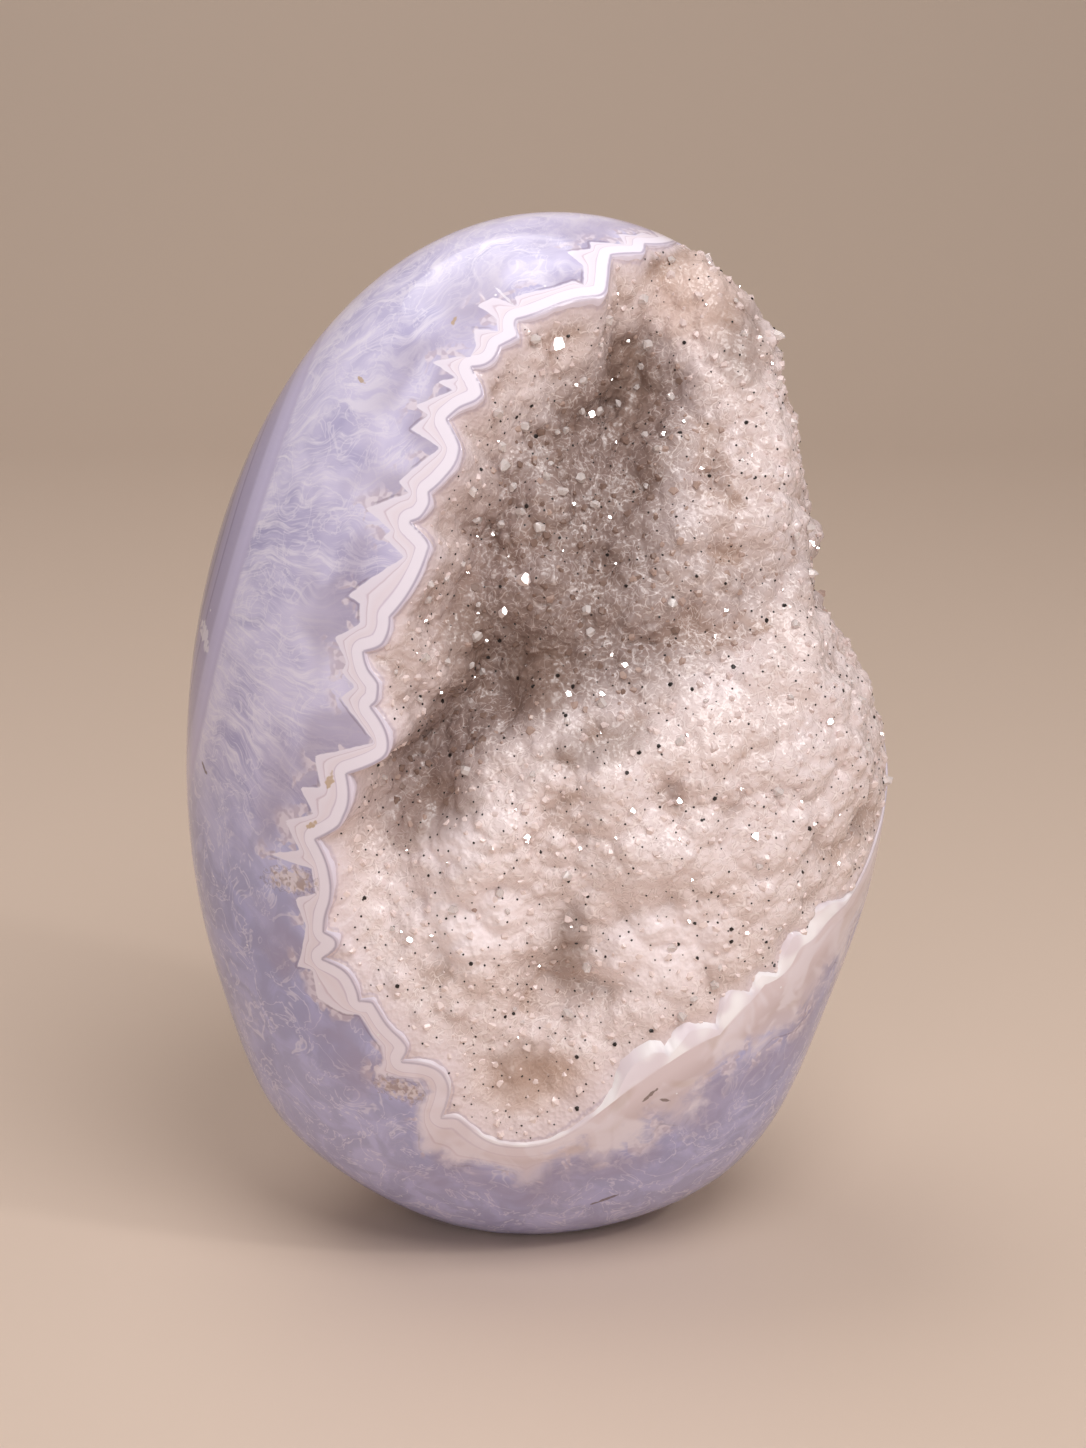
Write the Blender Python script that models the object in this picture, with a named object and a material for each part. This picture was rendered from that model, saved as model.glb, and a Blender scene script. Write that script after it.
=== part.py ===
"""Blue lace agate freeform: a polished egg-shaped stone that stands on a small flat, with a
deep hollow in its front right side lined by a crust of quartz crystals.

Frame: metres, +Z up, origin in the middle of the footprint on the resting plane. The hollow
faces -Y and +X. Directions are (azimuth, elevation) in degrees: azimuth 0 is -Y, 90 is +X.
"""

import random

import bmesh
import bpy
import numpy as np
from mathutils import Vector, kdtree, noise
from mathutils.geometry import delaunay_2d_cdt

MM = 0.001

# The polished form, an egg a little fuller than an ellipsoid and leaning to the right
HALF_WIDTH = 69.2 * MM
HALF_DEPTH = 53.0 * MM
HALF_HEIGHT = 103.4 * MM
MIDDLE = (0.27 * MM, -1.8 * MM, 100.4 * MM)
LEAN = 3.4
FULLNESS = 2.06
TAPER = 0.018

# Swells and flats left by hand shaping: azimuth, elevation, share of the radius, spread
SWELLS = (
    (80, -60, 0.039, 14),
    (85, -38, -0.013, 16),
    (-80, -58, 0.027, 11),
    (165, 25, -0.022, 34),
    (-140, -20, 0.016, 28),
)

# The hollow's rim, as directions from the stone's middle
RIM = (
    (97, 76), (67, 79), (25, 77.5), (0, 72.5), (-17, 68), (-25, 61), (-27, 52), (-29, 42),
    (-32, 31), (-33, 20), (-34, 9), (-37, -1), (-41, -11), (-42, -22), (-40, -31), (-32, -39),
    (-24, -48), (-15, -56), (0, -60), (13, -57), (22, -51), (31, -44), (41, -37), (51, -28),
    (60, -19), (68, -13), (76, -6), (86, -1), (97, 4), (107, 9), (115, 16), (120, 26),
    (122, 38), (123, 48), (122, 58), (118, 67), (109, 74),
)

# A point in the stone behind the whole hollow, from the stone's middle, and the direction from
# it to the hollow: the hollow is measured outwards from this point
HEART = (-12.0 * MM, 22.0 * MM, 28.0 * MM)
HOLLOW_FACES = (28, -8)

# Points on the floor and walls of the hollow, from the stone's middle, in millimetres
SOUNDINGS = (
    (28, -8, 90), (19, -9, 82), (30, -10, 83), (10, -15, 73), (18, -7, 72), (28, -13, 73),
    (39, -12, 72), (-4, -25, 65), (4, -21, 64), (13, -12, 62), (23, -18, 63), (34, -19, 64),
    (-9, -27, 54), (1, -28, 54), (12, -21, 52), (23, -25, 53), (38, -23, 53), (-11, -28, 43),
    (0, -31, 43), (11, -27, 42), (26, -29, 43), (-21, -39, 34), (-13, -31, 32), (-2, -30, 32),
    (11, -31, 32), (26, -31, 32), (40, -24, 34), (-23, -42, 23), (-15, -33, 21), (-5, -28, 20),
    (7, -33, 21), (19, -34, 21), (32, -32, 25), (46, -26, 28), (-25, -40, 11), (-17, -30, 9),
    (-10, -29, 16), (-6, -39, 10), (4, -42, 12), (19, -42, 13), (33, -39, 16), (51, -31, 17),
    (-26, -34, -2), (-18, -37, -1), (-10, -43, 1), (4, -45, 1), (20, -45, 1), (39, -41, 0),
    (-26, -38, -13), (-16, -44, -12), (-2, -45, -11), (15, -45, -11), (34, -43, -11),
    (-32, -41, -25), (-18, -44, -24), (-4, -43, -25), (6, -40, -28), (15, -42, -25), (27, -42, -25),
    (41, -39, -26), (-9, -42, -39), (4, -39, -42), (15, -41, -39), (10, -41, -51), (42, -8, 79),
    (46, -8, 69), (48, -8, 59), (49, -8, 50), (51, -8, 40), (51, -8, 34), (53, -8, 28),
    (58, -8, 20), (63, -8, 10), (65, -8, 3), (38, 8, 77), (49, 8, 53), (52, 12, 33), (56, 9, 21),
    (65, 3, 5), (47, 18, 54), (52, 20, 29),
)
EVENNESS = 0.0001
LEAST_DEPTH = 1.0 * MM

# How far the walls run before they reach the floor
WALL_RUN = 5.0 * MM

# The rounded lumps that the crystals grow on: size, height, and share of domes against swells
LUMP_SIZE = 12.0 * MM
LUMP_HEIGHT = 1.9 * MM
DOME_SHARE = 0.5

# The polished lip round the hollow
LIP_WIDTH = 3.0 * MM
LIP_ROUNDING = 0.9 * MM

# The crystal crust
LIP_DROP = 1.3 * MM
EDGE_THICKNESS = 1.6 * MM
CRUST_THICKNESS = 5.2 * MM
CRYSTAL_SPACING = 2.45 * MM
CRYSTAL_HEIGHT = (0.9 * MM, 2.0 * MM)
CRYSTAL_LEAN = 0.5 * MM
EDGE_CLEARANCE = 1.35 * MM
CRYSTAL_TRIES = 45000
GAP = 0.4 * MM
SEED = 11

# Fineness of the faceted solids, and the direction of the outside's last point
STONE_BACK = (-138, -6)
RIM_COLUMNS = 84
OUTER_ROWS = 20
ROW_GROWTH = 1.1
PROFILE_STEPS = 40
RIM_SAMPLES = 900
REACH_STEPS = 16
NORMAL_STEP = 0.004
SHARP_ANGLE = 35
INNER_ROWS = (1.0, 0.955, 0.90, 0.82, 0.71, 0.56, 0.39, 0.20)

AGATE_COLOUR = (0.585, 0.500, 0.645, 1.0)
DRUSE_COLOUR = (0.500, 0.380, 0.330, 1.0)


def direction(azimuth, elevation):
    """The unit vector for directions in degrees, as numbers or arrays."""
    a = np.radians(azimuth)
    e = np.radians(elevation)
    return np.stack([np.cos(e) * np.sin(a), -np.cos(e) * np.cos(a), np.sin(e)], axis=-1)


def angle_between(u, w):
    """Degrees between unit vectors."""
    return np.degrees(np.arccos(np.clip(np.sum(u * w, axis=-1), -1.0, 1.0)))


def form_radius(u):
    """Distance from the stone's middle to the polished form, before its taper and lean."""
    halves = np.array([HALF_WIDTH, HALF_DEPTH, HALF_HEIGHT])
    radius = np.sum(np.abs(u / halves) ** FULLNESS, axis=-1) ** (-1.0 / FULLNESS)
    swell = np.ones_like(radius)
    for azimuth, elevation, share, spread in SWELLS:
        off = angle_between(u, direction(azimuth, elevation))
        swell += share * np.exp(-((off / spread) ** 2))
    return radius * swell


def leaning(p):
    """Points moved from the upright form to the tapered, leaning stone on its plane."""
    narrowing = 1.0 - TAPER * p[..., 2] / HALF_HEIGHT
    x = p[..., 0] * narrowing
    y = p[..., 1] * narrowing
    z = p[..., 2]
    lean = np.radians(LEAN)
    turned = [x * np.cos(lean) + z * np.sin(lean), y, z * np.cos(lean) - x * np.sin(lean)]
    return np.stack(turned, axis=-1) + np.array(MIDDLE)


def upright(p):
    """Points moved from the stone back to the upright form: the way back of leaning."""
    p = p - np.array(MIDDLE)
    lean = np.radians(LEAN)
    x = p[..., 0] * np.cos(lean) - p[..., 2] * np.sin(lean)
    z = p[..., 0] * np.sin(lean) + p[..., 2] * np.cos(lean)
    narrowing = 1.0 - TAPER * z / HALF_HEIGHT
    return np.stack([x / narrowing, p[..., 1] / narrowing, z], axis=-1)


def on_form(u):
    """The point of the polished surface in a direction from the stone's middle."""
    return leaning(u * form_radius(u)[..., None])


def place(u, reach):
    """The point at a distance from the hollow's heart."""
    return np.array(MIDDLE) + np.array(HEART) + u * np.asarray(reach)[..., None]


def reach_of_form(u):
    """Distance from the hollow's heart to the polished surface, closed in on by steps."""
    reach = np.full(u.shape[:-1], HALF_WIDTH)
    for _ in range(REACH_STEPS):
        p = upright(place(u, reach))
        far = np.linalg.norm(p, axis=-1)
        reach = reach + form_radius(p / far[..., None]) - far
    return reach


# Directions round the hollow: an angle off its facing direction and a turn about it
FACING = direction(*HOLLOW_FACES)
SIDEWAYS = direction(HOLLOW_FACES[0] + 90, 0)
UPWARDS = np.cross(FACING, SIDEWAYS)


def hollow_direction(off, turn):
    """The unit vector at an angle off the hollow's facing direction, in radians."""
    ring = np.cos(turn)[..., None] * SIDEWAYS + np.sin(turn)[..., None] * UPWARDS
    return np.cos(off)[..., None] * FACING + np.sin(off)[..., None] * ring


def hollow_angles(u):
    """Angle off the facing direction and turn about it, in radians."""
    off = np.arccos(np.clip(u @ FACING, -1.0, 1.0))
    return off, np.arctan2(u @ UPWARDS, u @ SIDEWAYS)


def closed_curve(knots, values, at):
    """A smooth periodic curve through values at sorted knots, by cubic Hermite pieces."""
    full = 2.0 * np.pi
    knots = np.concatenate([knots[-2:] - full, knots, knots[:3] + full])
    values = np.concatenate([values[-2:], values, values[:3]])
    slopes = np.gradient(values, knots)
    at = np.mod(at - knots[1], full) + knots[1]
    i = np.clip(np.searchsorted(knots, at, side="right") - 1, 1, len(knots) - 3)
    run = knots[i + 1] - knots[i]
    t = (at - knots[i]) / run
    start = values[i] * (1 + 2 * t) * (1 - t) ** 2 + slopes[i] * run * t * (1 - t) ** 2
    end = values[i + 1] * t**2 * (3 - 2 * t) + slopes[i + 1] * run * t**2 * (t - 1)
    return start + end


def towards(points):
    """Unit vectors from the hollow's heart to points, and their distances from it."""
    way = points - place(np.zeros(3), 0.0)
    far = np.linalg.norm(way, axis=-1)
    return way / far[..., None], far


def rim_knots():
    """The rim's points as sorted turns and angles off the facing direction."""
    azimuth, elevation = np.array(RIM, dtype=float).T
    u, _ = towards(on_form(direction(azimuth, elevation)))
    off, turn = hollow_angles(u)
    order = np.argsort(turn)
    return turn[order], off[order]


RIM_TURNS, RIM_OFFS = rim_knots()


def rim_off(turn):
    """Angle from the facing direction to the rim, at a turn."""
    return closed_curve(RIM_TURNS, RIM_OFFS, turn)


def rim_tree():
    """The rim as close-set points on the polished form, for measuring distances from it."""
    turn = np.linspace(-np.pi, np.pi, RIM_SAMPLES, endpoint=False)
    u = hollow_direction(rim_off(turn), turn)
    tree = kdtree.KDTree(RIM_SAMPLES)
    for i, p in enumerate(place(u, reach_of_form(u))):
        tree.insert(p, i)
    tree.balance()
    return tree


RIM_TREE = rim_tree()


def inside_rim(u):
    """Distance from the rim into the hollow, across the polished form."""
    off, turn = hollow_angles(u)
    inside = rim_off(turn) > off
    at = place(u, reach_of_form(u)).reshape(-1, 3)
    far = np.array([RIM_TREE.find(p)[2] for p in at]).reshape(inside.shape)
    return np.where(inside, far, 0.0)


def wall_rise(u):
    """How far a wall has run down from the rim: 0 at the rim, 1 on the floor."""
    return 1.0 - np.exp(-inside_rim(u) / WALL_RUN)


def terms(u):
    """What the floor's depth is summed from: cubes of distances from the soundings, and a tilt."""
    apart = np.linalg.norm(u[..., None, :] - SOUNDED, axis=-1)
    return np.concatenate([apart**3, np.ones(u.shape[:-1] + (1,)), u], axis=-1)


def sounded_terms():
    """The shares of the terms that carry the floor smoothly through all the soundings."""
    depth = reach_of_form(SOUNDED) - SOUNDED_REACH
    floor = (depth - LIP_DROP) / wall_rise(SOUNDED)
    rows = terms(SOUNDED)
    rows[:, :-4] += EVENNESS * np.eye(len(SOUNDED))
    balance = np.concatenate([rows[:, -4:].T, np.zeros((4, 4))], axis=1)
    known = np.concatenate([floor, np.zeros(4)])
    return np.linalg.solve(np.concatenate([rows, balance]), known)


SOUNDED, SOUNDED_REACH = towards(np.array(SOUNDINGS) * MM + np.array(MIDDLE))
FLOOR_SHARES = sounded_terms()


def hollow_depth(u):
    """Depth of the crystal bed below the polished form, without its lumps."""
    floor = np.maximum(terms(u) @ FLOOR_SHARES, LEAST_DEPTH)
    return LIP_DROP + floor * wall_rise(u)


def lump_height(p):
    """Height of the lumps at a point: rounded domes with creases, on softer swells."""
    near = noise.voronoi(p)[0][0]
    dome = 0.5 - near**2
    return DOME_SHARE * dome + (1.0 - DOME_SHARE) * noise.noise(p)


def lumps(u):
    """The rounded lumps that the crystals grow on, none at the rim."""
    flat = smooth_bed(u).reshape(-1, 3) / LUMP_SIZE
    height = np.array([lump_height(Vector(p)) for p in flat]).reshape(u.shape[:-1])
    return 2.0 * LUMP_HEIGHT * height * (1.0 - np.exp(-inside_rim(u) / LUMP_SIZE))


def bed(u):
    """Points of the crystal bed, lumps and all."""
    return smooth_bed(u) + lumps(u)[..., None] * outward(smooth_bed, u)


def smooth_bed(u):
    """Points of the crystal bed without its lumps."""
    return place(u, reach_of_form(u) - hollow_depth(u))


def crust_back(u, gap=0.0):
    """Points of the crust's hidden back, where it grows from the stone, or a gap behind it."""
    rise = wall_rise(u)
    thickness = EDGE_THICKNESS + (CRUST_THICKNESS - EDGE_THICKNESS) * rise
    across = u + (outward(smooth_bed, u) - u) * rise[..., None]
    across /= np.linalg.norm(across, axis=-1, keepdims=True)
    return smooth_bed(u) - (thickness + gap)[..., None] * across


def crust_foot(u, gap=0.0):
    """Points of the back's edge, straight below the rim."""
    return place(u, reach_of_form(u) - LIP_DROP - EDGE_THICKNESS - gap)


def outward(surface, u, step=NORMAL_STEP):
    """Unit normals of a surface given as a function of direction, out of the stone."""
    off, turn = hollow_angles(u)
    off = np.maximum(off, 2 * step)
    across = surface(hollow_direction(off + step, turn)) - surface(hollow_direction(off - step, turn))
    spin = step / np.sin(off)
    along = surface(hollow_direction(off, turn + spin)) - surface(hollow_direction(off, turn - spin))
    normal = np.cross(across, along)
    return normal / np.linalg.norm(normal, axis=-1, keepdims=True)


def new_object(name, points, faces, material, smooth):
    """An object from points and faces, with its faces turned outwards."""
    mesh = bpy.data.meshes.new(name)
    mesh.from_pydata([tuple(p) for p in points], [], faces)
    work = bmesh.new()
    work.from_mesh(mesh)
    bmesh.ops.recalc_face_normals(work, faces=work.faces)
    work.to_mesh(mesh)
    work.free()
    mesh.materials.append(material)
    if smooth:
        mesh.shade_smooth()
        mesh.set_sharp_from_angle(angle=np.radians(SHARP_ANGLE))
    else:
        mesh.shade_flat()
    made = bpy.data.objects.new(name, mesh)
    bpy.context.scene.collection.objects.link(made)
    return made


def plain_material(name, colour, roughness):
    material = bpy.data.materials.new(name)
    material.use_nodes = True
    shader = material.node_tree.nodes["Principled BSDF"]
    shader.inputs["Base Color"].default_value = colour
    shader.inputs["Roughness"].default_value = roughness
    shader.inputs["Metallic"].default_value = 0.0
    material.diffuse_color = colour
    return material


def ring_strip(first, second, columns):
    """Triangles between two closed rings of points, given their first indices."""
    strip = []
    for j in range(columns):
        k = (j + 1) % columns
        strip.append((first + j, first + k, second + k))
        strip.append((first + j, second + k, second + j))
    return strip


def ring_cap(ring, tip, columns):
    """Triangles from a closed ring to one point."""
    return [(ring + j, ring + (j + 1) % columns, tip) for j in range(columns)]


def toward_middle(points):
    """Directions from the stone's middle to points on it."""
    way = upright(points)
    return way / np.linalg.norm(way, axis=-1, keepdims=True)


def crust_rings():
    """Directions of the crust's back and the recess behind it, from edge to middle."""
    turn = np.linspace(-np.pi, np.pi, RIM_COLUMNS, endpoint=False)
    edge = rim_off(turn)
    edge = edge - GAP / reach_of_form(hollow_direction(edge, turn))
    return [hollow_direction(edge * share, turn) for share in INNER_ROWS]


def make_agate():
    """The polished stone: its outside, the lip and the recess that the crust sits in."""
    turn = np.linspace(-np.pi, np.pi, RIM_COLUMNS, endpoint=False)
    edge = rim_off(turn)
    lip = hollow_direction(edge, turn)
    rings = [place(lip, reach_of_form(lip) - LIP_ROUNDING)]
    rim = toward_middle(place(lip, reach_of_form(lip)))
    back = direction(*STONE_BACK)
    whole = np.radians(angle_between(rim, back))
    for row in range(OUTER_ROWS - 1):
        share = (row / (OUTER_ROWS - 1)) ** ROW_GROWTH
        first = LIP_WIDTH / form_radius(rim)
        run = first + (whole - first) * share
        u = np.sin(whole - run)[:, None] * rim + np.sin(run)[:, None] * back
        rings.append(on_form(u / np.linalg.norm(u, axis=-1, keepdims=True)))
    outer_tip = on_form(back)
    inner = crust_rings()
    floors = [crust_foot(hollow_direction(edge, turn), GAP)]
    floors += [crust_back(u, GAP) for u in inner[1:]]
    inner_tip = crust_back(FACING[None, :], GAP)[0]

    points = np.concatenate(rings + [outer_tip[None, :]] + floors + [inner_tip[None, :]])
    faces = []
    for row in range(OUTER_ROWS - 1):
        faces += ring_strip(row * RIM_COLUMNS, (row + 1) * RIM_COLUMNS, RIM_COLUMNS)
    tip = OUTER_ROWS * RIM_COLUMNS
    faces += ring_cap((OUTER_ROWS - 1) * RIM_COLUMNS, tip, RIM_COLUMNS)
    first = tip + 1
    faces += ring_strip(first, 0, RIM_COLUMNS)
    for row in range(len(floors) - 1):
        start = first + row * RIM_COLUMNS
        faces += ring_strip(start, start + RIM_COLUMNS, RIM_COLUMNS)
    last = first + (len(floors) - 1) * RIM_COLUMNS
    faces += ring_cap(last, len(points) - 1, RIM_COLUMNS)
    stone = new_object(
        "agate_body", points, faces, plain_material("polished agate", AGATE_COLOUR, 0.12), True
    )
    cut_base(stone)
    return stone


def cut_base(stone):
    """Cuts the stone flat on the resting plane."""
    work = bmesh.new()
    work.from_mesh(stone.data)
    everything = work.verts[:] + work.edges[:] + work.faces[:]
    cut = bmesh.ops.bisect_plane(
        work, geom=everything, dist=1e-6, plane_co=(0, 0, 0), plane_no=(0, 0, 1), clear_inner=True
    )
    edges = [e for e in cut["geom_cut"] if isinstance(e, bmesh.types.BMEdge)]
    bmesh.ops.edgeloop_fill(work, edges=edges)
    bmesh.ops.recalc_face_normals(work, faces=work.faces)
    for edge in edges:
        edge.smooth = False
    work.to_mesh(stone.data)
    work.free()


def unrolled(u):
    """Flat coordinates for directions: the way along the bed from its middle, and its turn."""
    off, turn = hollow_angles(u)
    steps = np.linspace(0.0, 1.0, PROFILE_STEPS)
    way = hollow_direction(off[:, None] * steps, np.repeat(turn[:, None], PROFILE_STEPS, axis=1))
    at = smooth_bed(way)
    length = np.sum(np.linalg.norm(np.diff(at, axis=1), axis=2), axis=1)
    return np.stack([length * np.cos(turn), length * np.sin(turn)], axis=-1)


def scatter_on_bed(rim_points, draw):
    """Directions spread evenly over the crystal bed, no two closer than the spacing."""
    turn = np.array([draw.uniform(-np.pi, np.pi) for _ in range(CRYSTAL_TRIES)])
    share = np.sqrt(np.array([draw.random() for _ in range(CRYSTAL_TRIES)]))
    u = hollow_direction(rim_off(turn) * share, turn)
    u = u[inside_rim(u) > EDGE_CLEARANCE]
    at = smooth_bed(u)
    taken = np.empty((len(u) + len(rim_points), 3))
    taken[: len(rim_points)] = rim_points
    count = len(rim_points)
    chosen = []
    for i, p in enumerate(at):
        reach = np.min(np.sum((taken[:count] - p) ** 2, axis=1))
        if reach > CRYSTAL_SPACING**2:
            taken[count] = p
            count += 1
            chosen.append(i)
    return u[chosen]


def pick_tips(faces, count, fixed, draw):
    """Points that become crystal tips: no two are neighbours, and none is at the rim."""
    near = [set() for _ in range(count)]
    for face in faces:
        for a in face:
            near[a].update(b for b in face if b != a)
    order = list(range(fixed, count))
    draw.shuffle(order)
    tips = set()
    for i in order:
        if not near[i] & tips and all(j >= fixed for j in near[i]):
            tips.add(i)
    return tips


def make_druse():
    """The crystal crust: flat-faced crystals on a lumpy bed, closed by a smooth back."""
    draw = random.Random(SEED)
    back = crust_rings()
    edge_u = back[0]
    edge = place(edge_u, reach_of_form(edge_u) - LIP_DROP)
    field_u = scatter_on_bed(edge, draw)
    all_u = np.concatenate([edge_u, field_u])
    chart = [Vector(p) for p in unrolled(all_u)]
    loop = [(j, (j + 1) % RIM_COLUMNS) for j in range(RIM_COLUMNS)]
    _, _, faces, _, _, _ = delaunay_2d_cdt(chart, loop, [], 1, 1e-7)
    faces = [tuple(f) for f in faces]

    top = np.concatenate([edge, bed(field_u)])
    normals = outward(bed, all_u)
    for i in pick_tips(faces, len(top), RIM_COLUMNS, draw):
        height = draw.uniform(*CRYSTAL_HEIGHT)
        sway = np.array([draw.uniform(-1, 1) for _ in range(3)]) * CRYSTAL_LEAN
        top[i] = top[i] + normals[i] * height + sway

    rings = [crust_foot(edge_u)] + [crust_back(u) for u in back[1:]]
    tip = crust_back(FACING[None, :])
    points = np.concatenate([top] + rings + [tip])
    first = len(top)
    faces += ring_strip(0, first, RIM_COLUMNS)
    for row in range(len(rings) - 1):
        start = first + row * RIM_COLUMNS
        faces += ring_strip(start, start + RIM_COLUMNS, RIM_COLUMNS)
    last = first + (len(rings) - 1) * RIM_COLUMNS
    faces += ring_cap(last, len(points) - 1, RIM_COLUMNS)
    return new_object(
        "quartz_druse", points, faces, plain_material("drusy quartz", DRUSE_COLOUR, 0.25), False
    )


def main():
    for old in list(bpy.data.objects):
        bpy.data.objects.remove(old)
    make_agate()
    make_druse()


main()
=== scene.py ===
"""Blue lace agate freeform: the looks of the polished stone and of the quartz druse in its hollow.

Everything is in metres, +Z up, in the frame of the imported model. The hollow faces -Y and +X.
Directions are (azimuth, elevation) in degrees: azimuth 0 is -Y, 90 is +X.
"""

import random

import bpy
import numpy as np
from bpy.props import FloatProperty, FloatVectorProperty, IntProperty, PointerProperty
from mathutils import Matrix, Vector, kdtree, noise
from mathutils.geometry import delaunay_2d_cdt


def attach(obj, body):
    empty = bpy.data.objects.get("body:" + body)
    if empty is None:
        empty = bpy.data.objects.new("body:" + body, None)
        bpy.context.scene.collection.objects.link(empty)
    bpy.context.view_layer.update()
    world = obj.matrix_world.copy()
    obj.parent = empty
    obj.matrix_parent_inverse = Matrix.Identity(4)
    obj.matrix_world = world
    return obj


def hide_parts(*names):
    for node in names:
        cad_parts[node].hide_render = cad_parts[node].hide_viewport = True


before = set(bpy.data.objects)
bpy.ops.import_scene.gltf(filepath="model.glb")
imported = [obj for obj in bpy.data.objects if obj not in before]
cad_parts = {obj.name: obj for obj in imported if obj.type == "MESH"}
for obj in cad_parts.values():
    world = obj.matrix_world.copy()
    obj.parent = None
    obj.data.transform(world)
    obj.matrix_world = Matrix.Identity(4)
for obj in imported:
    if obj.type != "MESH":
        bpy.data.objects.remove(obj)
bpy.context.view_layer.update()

bl_info = {
    "name": "Blue lace agate freeform",
    "version": (1, 0, 0),
    "blender": (4, 5, 0),
    "location": "View3D > Sidebar > Agate",
    "description": "Builds a polished lace agate with a quartz druse in its hollow",
    "category": "Object",
}

MM = 0.001

# The polished form, an egg a little fuller than an ellipsoid and leaning to the right. Its back
# is the direction that the rings of its outside close on
HALF_WIDTH = 69.2 * MM
HALF_DEPTH = 53.0 * MM
HALF_HEIGHT = 103.4 * MM
MIDDLE = (0.27 * MM, -1.8 * MM, 100.4 * MM)
LEAN = 3.4
FULLNESS = 2.06
TAPER = 0.018
STONE_BACK = (-138, -6)

# Swells and flats left by hand shaping: azimuth, elevation, share of the radius, spread
SWELLS = (
    (80, -60, 0.039, 14),
    (85, -38, -0.013, 16),
    (-80, -58, 0.027, 11),
    (165, 25, -0.022, 34),
    (-140, -20, 0.016, 28),
)

# The scalloped rim of the hollow, as directions from the stone's middle. Each arc of the lace
# starts at a cusp and bulges into the hollow
RIM_ARCS = (
    ((98.5, 78.1), (67.0, 79.3)),
    ((54.7, 80.1), (43.4, 79.0)),
    ((25.4, 79.5), (20.7, 77.7), (18.5, 76.3), (15.9, 74.8)),
    ((11.6, 74.3),),
    ((6.6, 74.2), (-0.2, 73.7), (-10.0, 72.2)),
    ((-17.3, 71.0), (-17.7, 70.3), (-15.8, 69.2)),
    ((-20.9, 67.7), (-21.1, 66.9), (-23.3, 65.5)),
    ((-27.4, 64.7), (-22.9, 63.1), (-22.7, 61.9), (-27.6, 60.0)),
    ((-29.6, 58.7), (-25.4, 56.8), (-24.5, 55.6), (-26.8, 52.1)),
    ((-29.4, 50.1), (-28.8, 48.7), (-29.9, 47.0)),
    ((-32.1, 45.9), (-27.9, 44.5), (-27.1, 43.0), (-29.5, 36.8)),
    ((-32.6, 32.5), (-32.4, 30.7), (-33.2, 28.3)),
    ((-36.8, 26.1), (-35.6, 23.8), (-33.1, 21.5), (-33.0, 19.1)),
    ((-34.1, 17.5), (-30.6, 13.5), (-30.0, 10.8), (-31.3, 8.3)),
    ((-37.7, 4.4), (-37.0, 1.3), (-37.7, -3.4), (-39.5, -6.4)),
    ((-43.3, -8.9), (-40.8, -13.5), (-40.2, -16.3), (-40.4, -19.8), (-41.6, -23.2)),
    ((-42.0, -25.6), (-39.5, -27.5), (-40.0, -28.6)),
    ((-42.8, -30.4), (-39.1, -31.6), (-36.1, -34.9)),
    ((-35.6, -37.1), (-32.6, -37.4), (-30.2, -40.8), (-26.1, -44.5)),
    ((-27.7, -47.0), (-22.4, -47.4), (-17.9, -49.4), (-17.3, -52.3)),
    ((-19.7, -56.0), (-14.9, -56.3), (-9.2, -59.1), (-0.6, -60.3)),
    ((7.9, -59.4), (14.5, -56.8), (19.7, -53.6), (22.6, -51.6)),
    ((27.4, -48.3), (31.2, -45.8), (36.9, -42.3)),
    ((42.8, -39.6), (45.2, -36.7), (47.7, -34.1)),
    ((50.2, -31.1), (55.4, -28.4), (56.8, -25.4), (60.2, -23.7), (63.6, -21.0)),
    ((67.7, -19.2), (72.4, -15.7), (80.0, -9.0), (88.0, -2.5)),
    ((97.0, 3.0), (107.0, 8.5), (115.0, 15.5)),
    ((120.0, 26.0), (122.0, 38.0), (123.0, 48.0)),
    ((122.0, 58.0), (118.0, 67.0), (109.0, 74.0)),
)
CUSP_SHARE = 0.9

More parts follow.
